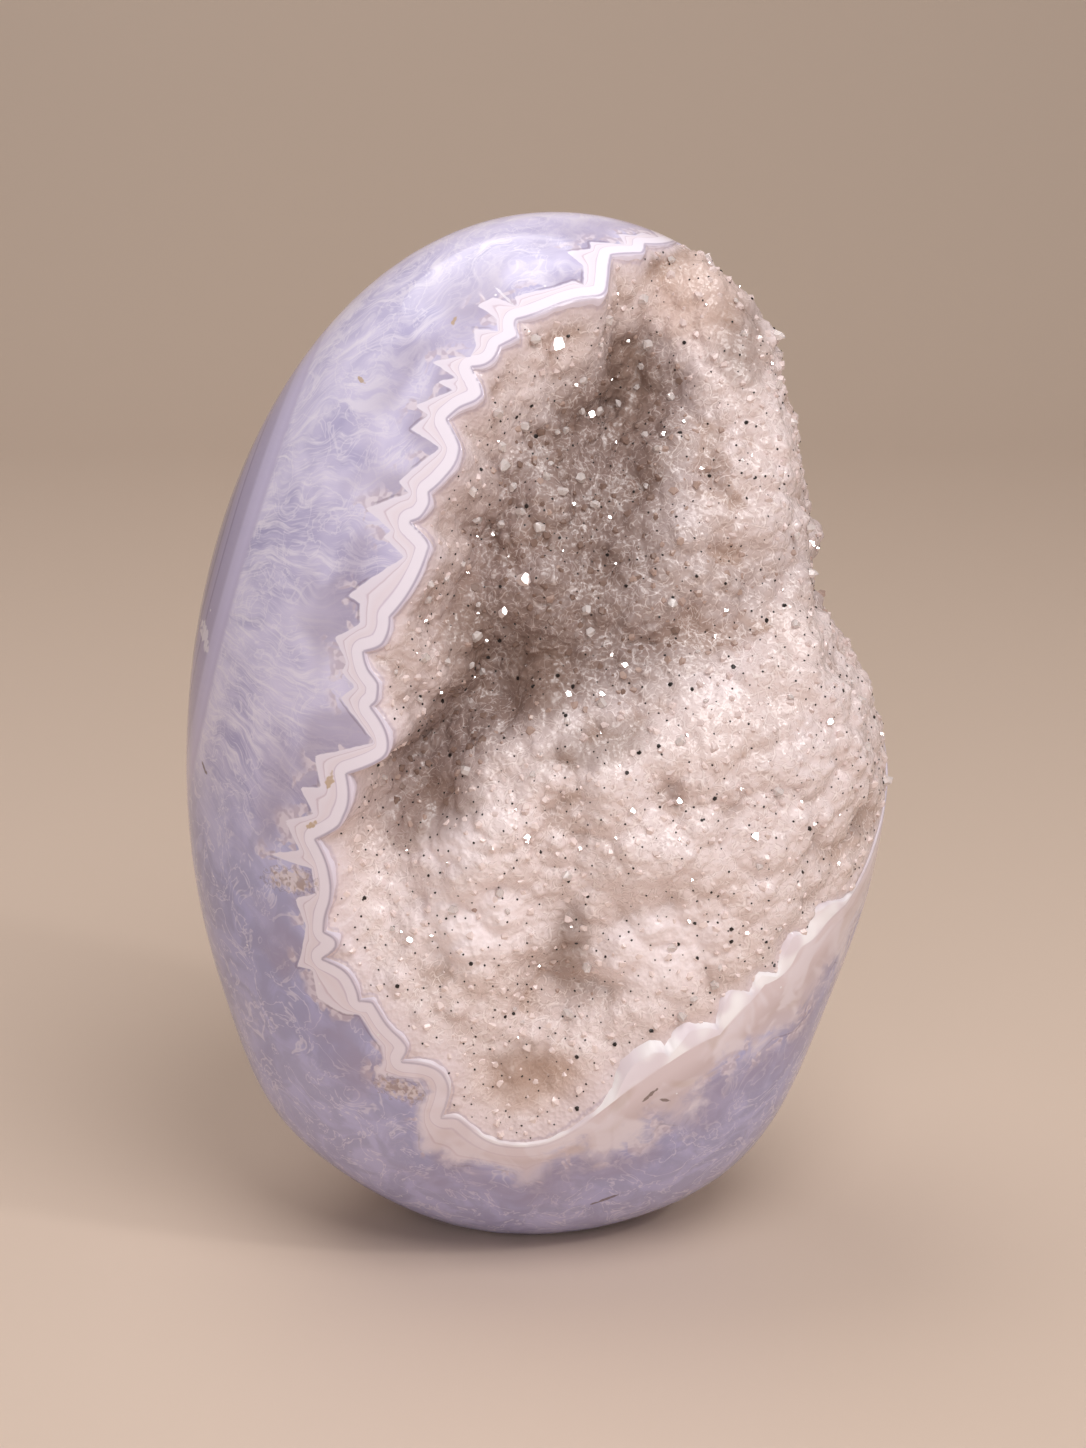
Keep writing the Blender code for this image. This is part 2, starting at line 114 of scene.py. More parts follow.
# Where the lace starts in the body of the stone: wedges that point into the hollow and white
# spikes that point away from it
LACE_START = (
    (98.0, 81.5), (77.2, 80.1), (70.3, 81.8), (57.0, 81.8), (44.1, 82.7), (39.0, 80.7),
    (14.5, 81.8), (13.5, 80.6), (-2.8, 80.1), (7.2, 78.2), (6.5, 75.6), (2.2, 76.2),
    (-6.4, 75.2), (-21.7, 73.3), (-18.9, 72.3), (-29.4, 72.6), (-33.6, 71.1), (-24.6, 70.4),
    (-23.2, 69.2), (-31.3, 68.6), (-28.1, 67.1), (-28.8, 65.7), (-32.8, 65.2), (-39.0, 63.7),
    (-30.8, 63.1), (-35.4, 62.0), (-30.3, 61.8), (-38.6, 58.8), (-34.7, 58.3), (-37.8, 56.2),
    (-29.5, 55.4), (-37.0, 50.0), (-33.9, 49.2), (-42.4, 45.5), (-35.9, 44.1), (-37.1, 43.0),
    (-32.0, 41.3), (-42.1, 33.5), (-39.1, 33.1), (-38.5, 30.2), (-43.0, 26.9), (-39.9, 23.6),
    (-40.8, 22.0), (-37.8, 20.2), (-40.2, 17.6), (-32.7, 11.3), (-44.3, 6.4), (-42.5, 0.9),
    (-46.9, 0.1), (-43.8, -4.2), (-49.7, -6.7), (-46.5, -11.5), (-53.8, -13.2), (-44.1, -14.4),
    (-43.5, -18.8), (-47.9, -20.4), (-45.8, -25.0), (-47.2, -29.2), (-48.8, -32.3),
    (-45.3, -32.5), (-45.0, -37.2), (-39.6, -39.4), (-35.9, -39.5), (-34.4, -42.1),
    (-32.0, -44.6), (-31.8, -47.2), (-34.8, -49.0), (-24.0, -50.1), (-22.8, -51.9),
    (-24.8, -55.2), (-26.9, -61.1), (-21.4, -61.8), (-20.1, -63.6), (-9.5, -63.5), (-0.4, -64.4),
    (4.2, -66.3), (7.0, -63.7), (19.4, -60.2), (25.0, -60.9), (29.0, -57.6), (32.9, -58.4),
    (35.5, -54.3), (41.7, -54.4), (44.3, -49.1), (48.7, -42.5), (53.0, -43.4), (56.9, -40.1),
    (64.2, -39.5), (65.5, -36.3), (70.3, -29.1), (76.2, -30.8), (73.9, -23.9), (80.0, -20.0),
    (86.0, -17.5), (86.0, -12.5), (95.0, -11.0), (97.0, -5.5), (107.0, -4.0), (108.0, 2.0),
    (118.0, 2.5), (117.0, 8.5), (127.0, 12.0), (125.0, 18.0), (133.0, 24.0), (128.0, 30.0),
    (136.0, 36.0), (129.5, 42.0), (138.0, 48.0), (131.0, 54.0), (139.0, 60.0), (130.0, 65.0),
    (136.0, 72.0), (122.0, 75.0), (118.0, 80.0),
)
LINE_STEP = 2.0

# A point in the stone behind the whole hollow, from the stone's middle, and the direction from
# it to the hollow: the hollow is measured outwards from this point
HEART = (-12.0 * MM, 22.0 * MM, 28.0 * MM)
HOLLOW_FACES = (28, -8)

# Points on the floor and walls of the hollow, from the stone's middle, in millimetres
SOUNDINGS = (
    (28, -8, 90), (19, -9, 82), (30, -10, 83), (10, -15, 73), (18, -7, 72), (28, -13, 73),
    (39, -12, 72), (-4, -25, 65), (4, -21, 64), (13, -12, 62), (23, -18, 63), (34, -19, 64),
    (-9, -27, 54), (1, -28, 54), (12, -21, 52), (23, -25, 53), (38, -23, 53), (-11, -28, 43),
    (0, -31, 43), (11, -27, 42), (26, -29, 43), (-21, -39, 34), (-13, -31, 32), (-2, -30, 32),
    (11, -31, 32), (26, -31, 32), (40, -24, 34), (-23, -42, 23), (-15, -33, 21), (-5, -28, 20),
    (7, -33, 21), (19, -34, 21), (32, -32, 25), (46, -26, 28), (-25, -40, 11), (-17, -30, 9),
    (-10, -29, 16), (-6, -39, 10), (4, -42, 12), (19, -42, 13), (33, -39, 16), (51, -31, 17),
    (-26, -34, -2), (-18, -37, -1), (-10, -43, 1), (4, -45, 1), (20, -45, 1), (39, -41, 0),
    (-26, -38, -13), (-16, -44, -12), (-2, -45, -11), (15, -45, -11), (34, -43, -11),
    (-32, -41, -25), (-18, -44, -24), (-4, -43, -25), (6, -40, -28), (15, -42, -25), (27, -42, -25),
    (41, -39, -26), (-9, -42, -39), (4, -39, -42), (15, -41, -39), (10, -41, -51), (42, -8, 79),
    (46, -8, 69), (48, -8, 59), (49, -8, 50), (51, -8, 40), (51, -8, 34), (53, -8, 28),
    (58, -8, 20), (63, -8, 10), (65, -8, 3), (38, 8, 77), (49, 8, 53), (52, 12, 33), (56, 9, 21),
    (65, 3, 5), (47, 18, 54), (52, 20, 29),
)

# How closely the floor follows the soundings, and how the walls run down to it from the rim
EVENNESS = 0.0001
LEAST_RISE = 0.25
LEAST_DEPTH = 1.0 * MM
WALL_RUN = 5.0 * MM
WALL_EASE = 1.35

# Steps and samples of the measuring
REACH_STEPS = 16
NORMAL_STEP = 0.004
RIM_SAMPLES = 2400

# The lumps that the crystals grow on: size and height, share of domes against softer swells,
# and size and height of the knobs on them
LUMP_SIZE = 12.0 * MM
LUMP_HEIGHT = 2.7 * MM
DOME_SHARE = 0.5
KNOB_SIZE = 6.5 * MM
KNOB_HEIGHT = 1.15 * MM

# How far the edge of the crystal bed lies under the polished surface
BED_DROP = 0.35 * MM

# The lip: narrow and flush on the lace side, a broad glossy bevel on the lower right. Its wall
# runs down behind the crystals, and soft ripples make its width and its slope uneven
LIP_WIDTH = 0.45 * MM
LIP_WALL = 6.0 * MM
BEVEL_SLOPE = 0.36
BEVEL_CURVE = 1.3
WIDTH_RIPPLE = 2.2 * MM
SLOPE_RIPPLE = 4.0 * MM

# Glossy chips broken along the lower right lip: azimuth, elevation, half length and width in mm
LIP_CHIPS = (
    (28.0, -48.1, 6.4, 3.6), (37.4, -42.0, 5.6, 2.4), (45.2, -36.7, 4.4, 3.6),
    (50.3, -31.4, 2.6, 1.8), (56.2, -26.6, 4.4, 3.4), (63.0, -21.6, 6.4, 3.6),
)

# The bed lies lower beside the chips, and comes up again this many mm beyond them
CHIP_DROP = 1.1 * MM
CHIP_FADE = 2.0

# Facets that flash: angle off the hollow's facing direction, turn about it, and width in mm.
# Smaller ones are strewn between them, and all of them are turned to the small lamp
FLASHES = (
    (0.993, 1.704, 2.3), (0.440, 2.202, 2.3), (0.445, 2.508, 1.4), (0.207, -3.017, 1.2),
    (0.050, 1.749, 1.2), (0.404, -0.115, 1.3), (0.327, -0.976, 1.6), (0.816, -2.287, 1.3),
    (0.905, 1.539, 1.5), (0.108, -3.062, 1.1), (0.198, -1.418, 1.1), (0.449, -2.347, 1.2),
    (0.234, -1.949, 1.2), (0.777, 0.417, 1.4), (0.660, 2.200, 1.0), (0.900, 1.250, 1.0),
)
SMALL_FLASHES = 70
SMALL_FLASH_WIDTH = (0.3, 0.8)
FLASH_SPACING = 0.11
SPARK = (0.62, -0.42, 0.62)

# Fineness of the stone's mesh, finer on the lace side and near the rim
FINE_STEP = 0.55 * MM
FINE_SIDE = 0.3 * HALF_WIDTH
COARSE_STEP = 1.0 * MM
NEAR_REACH = 19.0 * MM
NEAR_STEP = 0.5 * MM
FAR_ROWS = 44
FAR_EASE = 1.25
LIP_ROWS = 9

# How far from the rim the lace is measured, and where it is faint and beige: azimuth, elevation
# and spread
LACE_REACH = 34.0 * MM
FAINT_LACE = (48, -44, 44.0)

# Fineness of the crystal bed: spacing of its points in radians, how far a point strays from its
# place as a share of that, and how many points its edge has
BED_STEP = 0.0059
BED_JITTER = 0.22
BED_EDGE = 900

# Places are strewn in staggered rows over a square: half its width, and spacing of the rows
CHART_REACH = 1.5
ROW_SPACING = 0.866

# How the bed's walls are smoothed: share, how much of it fades further in, where, and rounds
SMOOTH_SHARE = 0.6
SMOOTH_FADE = 0.93
SMOOTH_RUN = (7.0 * MM, 14.0 * MM)
SMOOTH_ROUNDS = 70

# Values stored at the bed's points: distance from the rim in mm, room for crystals near it,
# depth as a valley, and depth between the lumps as a crease; the last two set the painted shade
FIELDS = ("inward", "room", "valley", "crease")
ROOM_RUN = (0.5 * MM, 1.8 * MM)
VALLEY_RUN = (9.0 * MM, 20.0 * MM)
CREASE_RUN = (-0.9 * MM, 1.3 * MM)

# The pyramids of the bed, small and large: spacing in radians, heights, share of them that
# stay, and slope of their faces
PYRAMIDS = (
    (0.021, (0.20 * MM, 0.48 * MM), 1.0, 0.40),
    (0.050, (0.7 * MM, 1.4 * MM), 0.40, 0.55),
)
PYRAMID_JITTER = 0.42
PYRAMID_TILT = (0.1, 0.75)
NEIGHBOURS = 9

# Crystals of unit width: heights of foot, shoulder and tip, and how far the tip is off centre
SMALL_FORMS = (
    (-0.45, 0.04, 0.26, 0.14), (-0.45, 0.10, 0.42, 0.12),
    (-0.45, 0.05, 0.18, 0.24), (-0.45, 0.08, 0.34, 0.28),
)
CLEAR_FORMS = ((-0.2, 0.45, 0.95, 0.15), (-0.2, 0.25, 0.60, 0.30), (-0.2, 0.55, 0.80, 0.35))
GRAIN_FORMS = ((-0.4, 0.15, 0.30, 0.2), (-0.4, 0.25, 0.35, 0.3))
SIDES = 6
SHOULDER_WIDTH = 0.94

# Black grains: smallest and largest width in mm, and how many to the square millimetre
GRAINS = ((0.25, 0.50, 0.085), (0.6, 1.0, 0.005))

# The druse is painted paler and whiter low down, as painted light on its lower part that faces
# up, and rosier higher up: share of x added to the height, and from where to where, in mm
HIGH_TILT = 0.25
HIGH_RUN = (85.0, 135.0)

# Clear points stand thickest where the height less twice x lies above this run
LEFT_RUN = (120.0 * MM, 170.0 * MM)

# Fine arcs in the quartz: scale of their cells, half width and share
BED_ARCS = ((0.42, 0.06, 0.70), (0.85, 0.09, 0.50))

# Seeds of the random draws
BED_SEED = 7
SMALL_FORM_SEED = 5
CLEAR_FORM_SEED = 8
GRAIN_FORM_SEED = 9
FLASH_SEED = 31
SMALL_SEED = 20
CLEAR_SEED = 41
GRAIN_SEED = 60

# Added to a seed for the sizes and for the forms of what grows
SIZE_DRAW = 7.0
FORM_DRAW = 13.0

# The straight rind of the nodule along the left side, as a plane from a point and its normal,
# and the width of its bands, in mm
RIND_POINT = (-52.8, -21.8, 146.3)
RIND_NORMAL = (0.953, -0.128, -0.275)
RIND_WIDTH = 20.0

# The milky fibres fan out from a line beside the stone, and fill the body from one height to
# another. Below them it is mottled. In mm
FAN_X = -102.0
FAN_Z = 137.0
FIBRES_RUN = (78.0, 112.0)

# Width of the ribbon of lace that follows the rim, in mm
RIBBON_WIDTH = 2.4

# Marks on the front: their colour, and x, z, half length and half width in mm, and tilt of each
MARKS = (
    ((0.55, 0.38, 0.20, 1.0), (
        (-15.2, 187.4, 1.1, 0.5, 70.0), (-32.2, 176.2, 0.9, 0.5, -30.0),
        (-38.1, 105.5, 2.2, 0.9, 80.0), (-41.7, 96.3, 1.6, 0.7, 40.0),
    )),
    ((0.16, 0.10, 0.08, 1.0), (
        (21.4, 41.9, 2.2, 0.5, 45.0), (24.3, 40.2, 1.6, 0.4, -20.0), (13.7, 15.0, 4.0, 0.4, 24.0),
        (-63.5, 100.5, 1.6, 0.4, -60.0),
    )),
    ((0.90, 0.86, 0.95, 1.0), (
        (-6.5, 192.0, 3.4, 0.3, -40.0), (-63.6, 125.3, 1.2, 3.2, 8.0),
    )),
)

# Two open crystal pockets in the lace, as ovals like the marks
POCKETS = ((-46.2, 84.5, 6.0, 3.0, 8.0), (-26.1, 42.9, 5.5, 3.0, -14.0))

# Soft patches of the druse, pale ones painted light on the lower shelf, smoky ones painted shade
# in the cleft and valleys, tan ones its own tint: their colour, its share, and ovals like the marks
SPOTS = (
    ((1.0, 0.89, 0.92, 1.0), 0.75, (
        (-12.0, 78.0, 15.0, 12.0, 30.0), (-16.0, 93.0, 8.0, 6.0, 40.0),
        (24.0, 72.0, 18.0, 12.0, 20.0),
    )),
    ((0.24, 0.155, 0.12, 1.0), 0.6, (
        (11.0, 112.0, 14.0, 5.0, 15.0), (38.0, 182.0, 7.0, 12.0, 10.0),
        (6.0, 72.0, 5.0, 12.0, -8.0), (-3.0, 46.0, 8.0, 8.0, 0.0),
        (-19.0, 98.0, 14.0, 6.0, 35.0), (-13.0, 129.0, 6.0, 12.0, 10.0),
        (17.0, 173.0, 7.0, 14.0, -8.0), (0.0, 122.0, 9.0, 9.0, 0.0), (24.0, 197.0, 8.0, 5.0, 0.0),
    )),
    ((0.60, 0.40, 0.31, 1.0), 0.45, (
        (2.0, 43.0, 18.0, 10.0, -10.0), (28.0, 52.0, 12.0, 8.0, 35.0),
        (30.0, 190.0, 12.0, 12.0, 0.0),
    )),
)

# Quartz and agate bend light alike
QUARTZ_IOR = 1.54

# The labels of an oval on the front, and what is added to places in the stone's back half, so
# that no oval reaches them
OVAL = ("X", "Z", "Half length", "Half width", "Tilt")
HIDDEN = -9.0

# The photograph's camera
CAMERA_ELEVATION = 16.0
CAMERA_DISTANCE = 634.5 * MM
CAMERA_LENS = 80.0
CAMERA_SENSOR = 36.0
CAMERA_AIM = (1.05 * MM, -1.8 * MM, 103.4 * MM)

# The lamps: name, place, width and colour
LAMPS = (
    ("key", (0.28, -0.60, 1.08), 0.7, (1.0, 0.98, 0.98)),
    ("top", (-0.33, 0.30, 1.15), 0.9, (1.0, 0.97, 0.96)),
    ("front", (-0.15, -1.15, 0.42), 0.8, (1.0, 0.97, 0.96)),
    ("spark", SPARK, 0.07, (1.0, 0.98, 0.96)),
)
ROOM_COLOUR = (1.0, 0.93, 0.86, 1.0)

# The floor: half its width, where its wall stands, the bend between them and the wall's height
FLOOR_SIZE = 3.0
FLOOR_BACK = 1.3
FLOOR_BEND = 0.5
FLOOR_RISE = 1.6
BEND_STEPS = 24


def direction(azimuth, elevation):
    """The unit vector for directions in degrees, as numbers or arrays."""
    a = np.radians(azimuth)
    e = np.radians(elevation)
    return np.stack([np.cos(e) * np.sin(a), -np.cos(e) * np.cos(a), np.sin(e)], axis=-1)


def angle_between(u, w):
    """Degrees between unit vectors."""
    return np.degrees(np.arccos(np.clip(np.sum(u * w, axis=-1), -1.0, 1.0)))


def form_radius(u):
    """Distance from the stone's middle to the polished form, before its taper and lean."""
    halves = np.array([HALF_WIDTH, HALF_DEPTH, HALF_HEIGHT])
    radius = np.sum(np.abs(u / halves) ** FULLNESS, axis=-1) ** (-1.0 / FULLNESS)
    swell = np.ones_like(radius)
    for azimuth, elevation, share, spread in SWELLS:
        off = angle_between(u, direction(azimuth, elevation))
        swell += share * np.exp(-((off / spread) ** 2))
    return radius * swell


def leaning(p):
    """Points moved from the upright form to the tapered, leaning stone on its plane."""
    narrowing = 1.0 - TAPER * p[..., 2] / HALF_HEIGHT
    x = p[..., 0] * narrowing
    y = p[..., 1] * narrowing
    z = p[..., 2]
    lean = np.radians(LEAN)
    turned = [x * np.cos(lean) + z * np.sin(lean), y, z * np.cos(lean) - x * np.sin(lean)]
    return np.stack(turned, axis=-1) + np.array(MIDDLE)


def upright(p):
    """Points moved from the stone back to the upright form: the way back of leaning."""
    p = p - np.array(MIDDLE)
    lean = np.radians(LEAN)
    x = p[..., 0] * np.cos(lean) - p[..., 2] * np.sin(lean)
    z = p[..., 0] * np.sin(lean) + p[..., 2] * np.cos(lean)
    narrowing = 1.0 - TAPER * z / HALF_HEIGHT
    return np.stack([x / narrowing, p[..., 1] / narrowing, z], axis=-1)


def on_form(u):
    """The point of the polished surface in a direction from the stone's middle."""
    return leaning(u * form_radius(u)[..., None])


def toward_middle(points):
    """Directions from the stone's middle to points on it."""
    way = upright(points)
    return way / np.linalg.norm(way, axis=-1, keepdims=True)


def place(u, reach):
    """The point at a distance from the hollow's heart."""
    return np.array(MIDDLE) + np.array(HEART) + u * np.asarray(reach)[..., None]


def reach_of_form(u):
    """Distance from the hollow's heart to the polished surface, closed in on by steps."""
    reach = np.full(u.shape[:-1], HALF_WIDTH)
    for _ in range(REACH_STEPS):
        p = upright(place(u, reach))
        far = np.linalg.norm(p, axis=-1)
        reach = reach + form_radius(p / far[..., None]) - far
    return reach


# Directions round the hollow: an angle off its facing direction and a turn about it
FACING = direction(*HOLLOW_FACES)
SIDEWAYS = direction(HOLLOW_FACES[0] + 90, 0)
UPWARDS = np.cross(FACING, SIDEWAYS)


def hollow_direction(off, turn):
    """The unit vector at an angle off the hollow's facing direction, in radians."""
    ring = np.cos(turn)[..., None] * SIDEWAYS + np.sin(turn)[..., None] * UPWARDS
    return np.cos(off)[..., None] * FACING + np.sin(off)[..., None] * ring


def hollow_angles(u):
    """Angle off the facing direction and turn about it, in radians."""
    off = np.arccos(np.clip(u @ FACING, -1.0, 1.0))
    return off, np.arctan2(u @ UPWARDS, u @ SIDEWAYS)


def towards(points):
    """Unit vectors from the hollow's heart to points, and their distances from it."""
    way = points - place(np.zeros(3), 0.0)
    far = np.linalg.norm(way, axis=-1)
    return way / far[..., None], far


def rim_knots():
    """The rim's points as sorted turns and angles off the facing direction, and its cusps."""
    points = [point for arc in RIM_ARCS for point in arc]
    cusps = [i == 0 for arc in RIM_ARCS for i, _ in enumerate(arc)]
    azimuth, elevation = np.array(points, dtype=float).T
    u, _ = towards(on_form(direction(azimuth, elevation)))
    off, turn = hollow_angles(u)
    order = np.argsort(turn)
    return turn[order], off[order], np.array(cusps)[order]


def cusped_curve(knots, values, cusps, at):
    """A periodic curve through values at sorted knots, smooth apart from its cusps."""
    full = 2.0 * np.pi
    knots = np.concatenate([knots[-2:] - full, knots, knots[:3] + full])
    values = np.concatenate([values[-2:], values, values[:3]])
    cusps = np.concatenate([cusps[-2:], cusps, cusps[:3]])
    run = np.diff(knots)
    secant = np.diff(values) / run
    before, run_before = np.insert(secant, 0, secant[0]), np.insert(run, 0, run[0])
    after, run_after = np.append(secant, secant[-1]), np.append(run, run[-1])
    least = np.minimum(np.abs(before), np.abs(after))
    most = np.where(before * after > 0, 3.0 * least, least)
    smooth = (before * run_after + after * run_before) / (run_before + run_after)
    smooth = np.clip(smooth, -most, most)
    leaving = np.where(cusps, after + CUSP_SHARE * (after - np.roll(smooth, -1)), smooth)
    coming = np.where(cusps, before + CUSP_SHARE * (before - np.roll(smooth, 1)), smooth)
    at = np.mod(at - knots[1], full) + knots[1]
    i = np.clip(np.searchsorted(knots, at, side="right") - 1, 1, len(knots) - 3)
    run = run[i]
    t = (at - knots[i]) / run
    start = values[i] * (1 + 2 * t) * (1 - t) ** 2 + leaving[i] * run * t * (1 - t) ** 2
    end = values[i + 1] * t**2 * (3 - 2 * t) + coming[i + 1] * run * t**2 * (t - 1)
    return start + end


RIM_TURNS, RIM_OFFS, RIM_CUSPS = rim_knots()


def rim_off(turn):
    """Angle from the facing direction to the rim, at a turn."""
    return cusped_curve(RIM_TURNS, RIM_OFFS, RIM_CUSPS, turn)


def point_tree(points):
    """A tree that finds the nearest of some points."""
    tree = kdtree.KDTree(len(points))
    for i, p in enumerate(points):
        tree.insert(p, i)
    tree.balance()
    return tree


def rim_tree():
    """The rim as close-set points on the polished form, for measuring distances from it."""
    turn = np.linspace(-np.pi, np.pi, RIM_SAMPLES, endpoint=False)
    u = hollow_direction(rim_off(turn), turn)
    return point_tree(place(u, reach_of_form(u)))


RIM_TREE = rim_tree()


def from_rim(points):
    """Distance of points from the rim."""
    flat = points.reshape(-1, 3)
    return np.array([RIM_TREE.find(p)[2] for p in flat]).reshape(points.shape[:-1])


def inside_rim(u):
    """Distance from the rim into the hollow, across the polished form."""
    off, turn = hollow_angles(u)
    inside = rim_off(turn) > off
    return np.where(inside, from_rim(place(u, reach_of_form(u))), 0.0)


def wall_rise(u):
    """How far a wall has run down from the rim: 0 at the rim, 1 on the floor."""
    return 1.0 - np.exp(-((inside_rim(u) / WALL_RUN) ** WALL_EASE))


def terms(u):
    """What the floor's depth is summed from: cubes of distances from the soundings, and a tilt."""
    apart = np.linalg.norm(u[..., None, :] - SOUNDED, axis=-1)
    return np.concatenate([apart**3, np.ones(u.shape[:-1] + (1,)), u], axis=-1)


def sounded_terms():
    """The shares of the terms that carry the floor smoothly through all the soundings."""
    depth = reach_of_form(SOUNDED) - SOUNDED_REACH
    floor = (depth - BED_DROP) / np.maximum(wall_rise(SOUNDED), LEAST_RISE)
    rows = terms(SOUNDED)
    rows[:, :-4] += EVENNESS * np.eye(len(SOUNDED))
    balance = np.concatenate([rows[:, -4:].T, np.zeros((4, 4))], axis=1)
    known = np.concatenate([floor, np.zeros(4)])
    return np.linalg.solve(np.concatenate([rows, balance]), known)


SOUNDED, SOUNDED_REACH = towards(np.array(SOUNDINGS) * MM + np.array(MIDDLE))
FLOOR_SHARES = sounded_terms()


def hollow_depth(u):
    """Depth of the crystal bed below the polished form, without its lumps."""
    floor = np.maximum(terms(u) @ FLOOR_SHARES, LEAST_DEPTH)
    return BED_DROP + floor * wall_rise(u)


def smooth_bed(u):
    """Points of the crystal bed without its lumps."""
    return place(u, reach_of_form(u) - hollow_depth(u))


def dome(p):
    """Height of rounded domes with creases between them, at a point."""
    return 0.5 - noise.voronoi(p)[0][0] ** 2


def lump_heights(points, inward):
    """Height of the bed's lumps: domes on softer swells, and knobs, gone at the rim."""
    at = [Vector(p) / LUMP_SIZE for p in points]
    lump = np.array([DOME_SHARE * dome(p) + (1.0 - DOME_SHARE) * noise.noise(p) for p in at])
    knob = np.array([dome(Vector(p) / KNOB_SIZE) for p in points])
    lump = 2.0 * LUMP_HEIGHT * lump * (1.0 - np.exp(-inward / LUMP_SIZE))
    return lump + 2.0 * KNOB_HEIGHT * knob * (1.0 - np.exp(-inward / KNOB_SIZE))


def soft_noise(points, size):
    """Soft noise at points, in swells of a size."""
    return np.array([noise.noise(Vector(p) / size) for p in points])


def bed_normals(u):
    """Unit normals of the smooth bed, out of the stone."""
    off, turn = hollow_angles(u)
    off = np.maximum(off, 2 * NORMAL_STEP)
    spin = NORMAL_STEP / np.sin(off)
    across = smooth_bed(hollow_direction(off + NORMAL_STEP, turn))
    across = across - smooth_bed(hollow_direction(off - NORMAL_STEP, turn))
    along = smooth_bed(hollow_direction(off, turn + spin))
    along = along - smooth_bed(hollow_direction(off, turn - spin))
    normal = np.cross(across, along)
    return normal / np.linalg.norm(normal, axis=-1, keepdims=True)


def eased(value, low, high):
    """0 below low, 1 above high and smooth between."""
    t = np.clip((value - low) / (high - low), 0.0, 1.0)
    return t * t * (3.0 - 2.0 * t)


def ring_strip(first, second, columns):
    """Triangles between two closed rings of points, given their first indices."""
    j = np.arange(columns)
    k = (j + 1) % columns
    one = np.stack([first + j, first + k, second + k], axis=1)
    two = np.stack([first + j, second + k, second + j], axis=1)
    return np.concatenate([one, two])


def ring_cap(ring, tip, columns):
    """Triangles from a closed ring to one point."""
    j = np.arange(columns)
    return np.stack([ring + j, ring + (j + 1) % columns, np.full(columns, tip)], axis=1)


def in_scene(name, data):
    """A new object in the scene."""
    made = bpy.data.objects.new(name, data)
    bpy.context.scene.collection.objects.link(made)
    return made


def store(mesh, name, values):
    """Stores a value at each point of a mesh."""
    layer = mesh.attributes.new(name, "FLOAT", "POINT")
    layer.data.foreach_set("value", np.asarray(values, dtype=np.float32))


def stored(piece, name):
    """The values stored at the points of a piece, as an array."""
    values = np.empty(len(piece.data.vertices), dtype=np.float32)
    piece.data.attributes[name].data.foreach_get("value", values)
    return values.astype(float)


def new_piece(name, points, faces, material, fields):
    """An object from points and triangles, smooth, with values stored at its points."""
    mesh = bpy.data.meshes.new(name)
    mesh.vertices.add(len(points))
    mesh.vertices.foreach_set("co", np.asarray(points, dtype=np.float32).ravel())
    mesh.loops.add(faces.size)
    mesh.loops.foreach_set("vertex_index", faces.ravel().astype(np.int32))
    mesh.polygons.add(len(faces))
    mesh.polygons.foreach_set("loop_start", np.arange(0, faces.size, 3, dtype=np.int32))
    mesh.update(calc_edges=True)
    mesh.validate()
    for label, values in fields.items():
        store(mesh, label, values)
    mesh.shade_smooth()
    mesh.materials.append(material)
    return in_scene(name, mesh)


def finish_piece(piece, slot, *nodes):
    """Fixes a finished piece to the stone's one body."""
    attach(piece, "root")
    if nodes:
        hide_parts(*nodes)


# Small helpers for node trees


def node(tree, kind, inputs=None, **settings):
    """A node with settings, and inputs given as values or as sockets to join."""
    made = tree.nodes.new(kind)
    for name, value in settings.items():
        setattr(made, name, value)
    for name, value in (inputs or {}).items():
        if isinstance(value, bpy.types.NodeSocket):
            tree.links.new(value, made.inputs[name])
        else:
            made.inputs[name].default_value = value
    return made


def maths(tree, operation, first, second=0.0, third=0.0):
    """The result of one sum on values or sockets."""
    inputs = {0: first, 1: second, 2: third}
    return node(tree, "ShaderNodeMath", inputs, operation=operation).outputs[0]


def between(tree, value, low, high, start=0.0, end=1.0, shape="SMOOTHSTEP"):
    """A value carried from one range to another and held at its ends."""
    inputs = {"Value": value, 1: low, 2: high, 3: start, 4: end}
    return node(tree, "ShaderNodeMapRange", inputs, interpolation_type=shape).outputs[0]


def blend(tree, share, first, second):
    """One colour over another by a share."""
    made = node(tree, "ShaderNodeMix", {0: share, 6: first, 7: second}, data_type="RGBA")
    return made.outputs[2]


def glaze(tree, colour, tint, share, *others):
    """A tint laid over a colour by a share, or by the product of several."""
    for other in others:
        share = maths(tree, "MULTIPLY", share, other)
    return blend(tree, share, colour, tint)


def ramp(tree, value, stops):
    """A colour for each value from (place, colour) stops."""
    made = node(tree, "ShaderNodeValToRGB", {"Fac": value})
    elements = made.color_ramp.elements
    while len(elements) < len(stops):
        elements.new(0.5)
    for element, (at, colour) in zip(elements, stops):
        element.position = at
        element.color = colour
    return made.outputs["Color"]


def cloud(tree, vector, scale, detail=3.0, roughness=0.5, distortion=0.0):
    """Soft noise over a vector."""
    inputs = {
        "Vector": vector, "Scale": scale, "Detail": detail, "Roughness": roughness,
        "Distortion": distortion,
    }
    return node(tree, "ShaderNodeTexNoise", inputs).outputs["Fac"]


def cells(tree, vector, scale, feature="F1"):
    """Distances in a pattern of cells over a vector."""
    inputs = {"Vector": vector, "Scale": scale}
    return node(tree, "ShaderNodeTexVoronoi", inputs, feature=feature).outputs["Distance"]


def fine_lines(tree, value, at, half):
    """Thin lines where a value passes a level."""
    gap = maths(tree, "ABSOLUTE", maths(tree, "SUBTRACT", value, at))
    return between(tree, gap, half, 0.0)


def field(tree, name):
    """A value stored at the points of a piece."""
    return node(tree, "ShaderNodeAttribute", attribute_name=name).outputs["Fac"]


def vectors(tree, operation, inputs):
    """The vector that comes of one sum on vectors."""
    return node(tree, "ShaderNodeVectorMath", inputs, operation=operation).outputs[0]


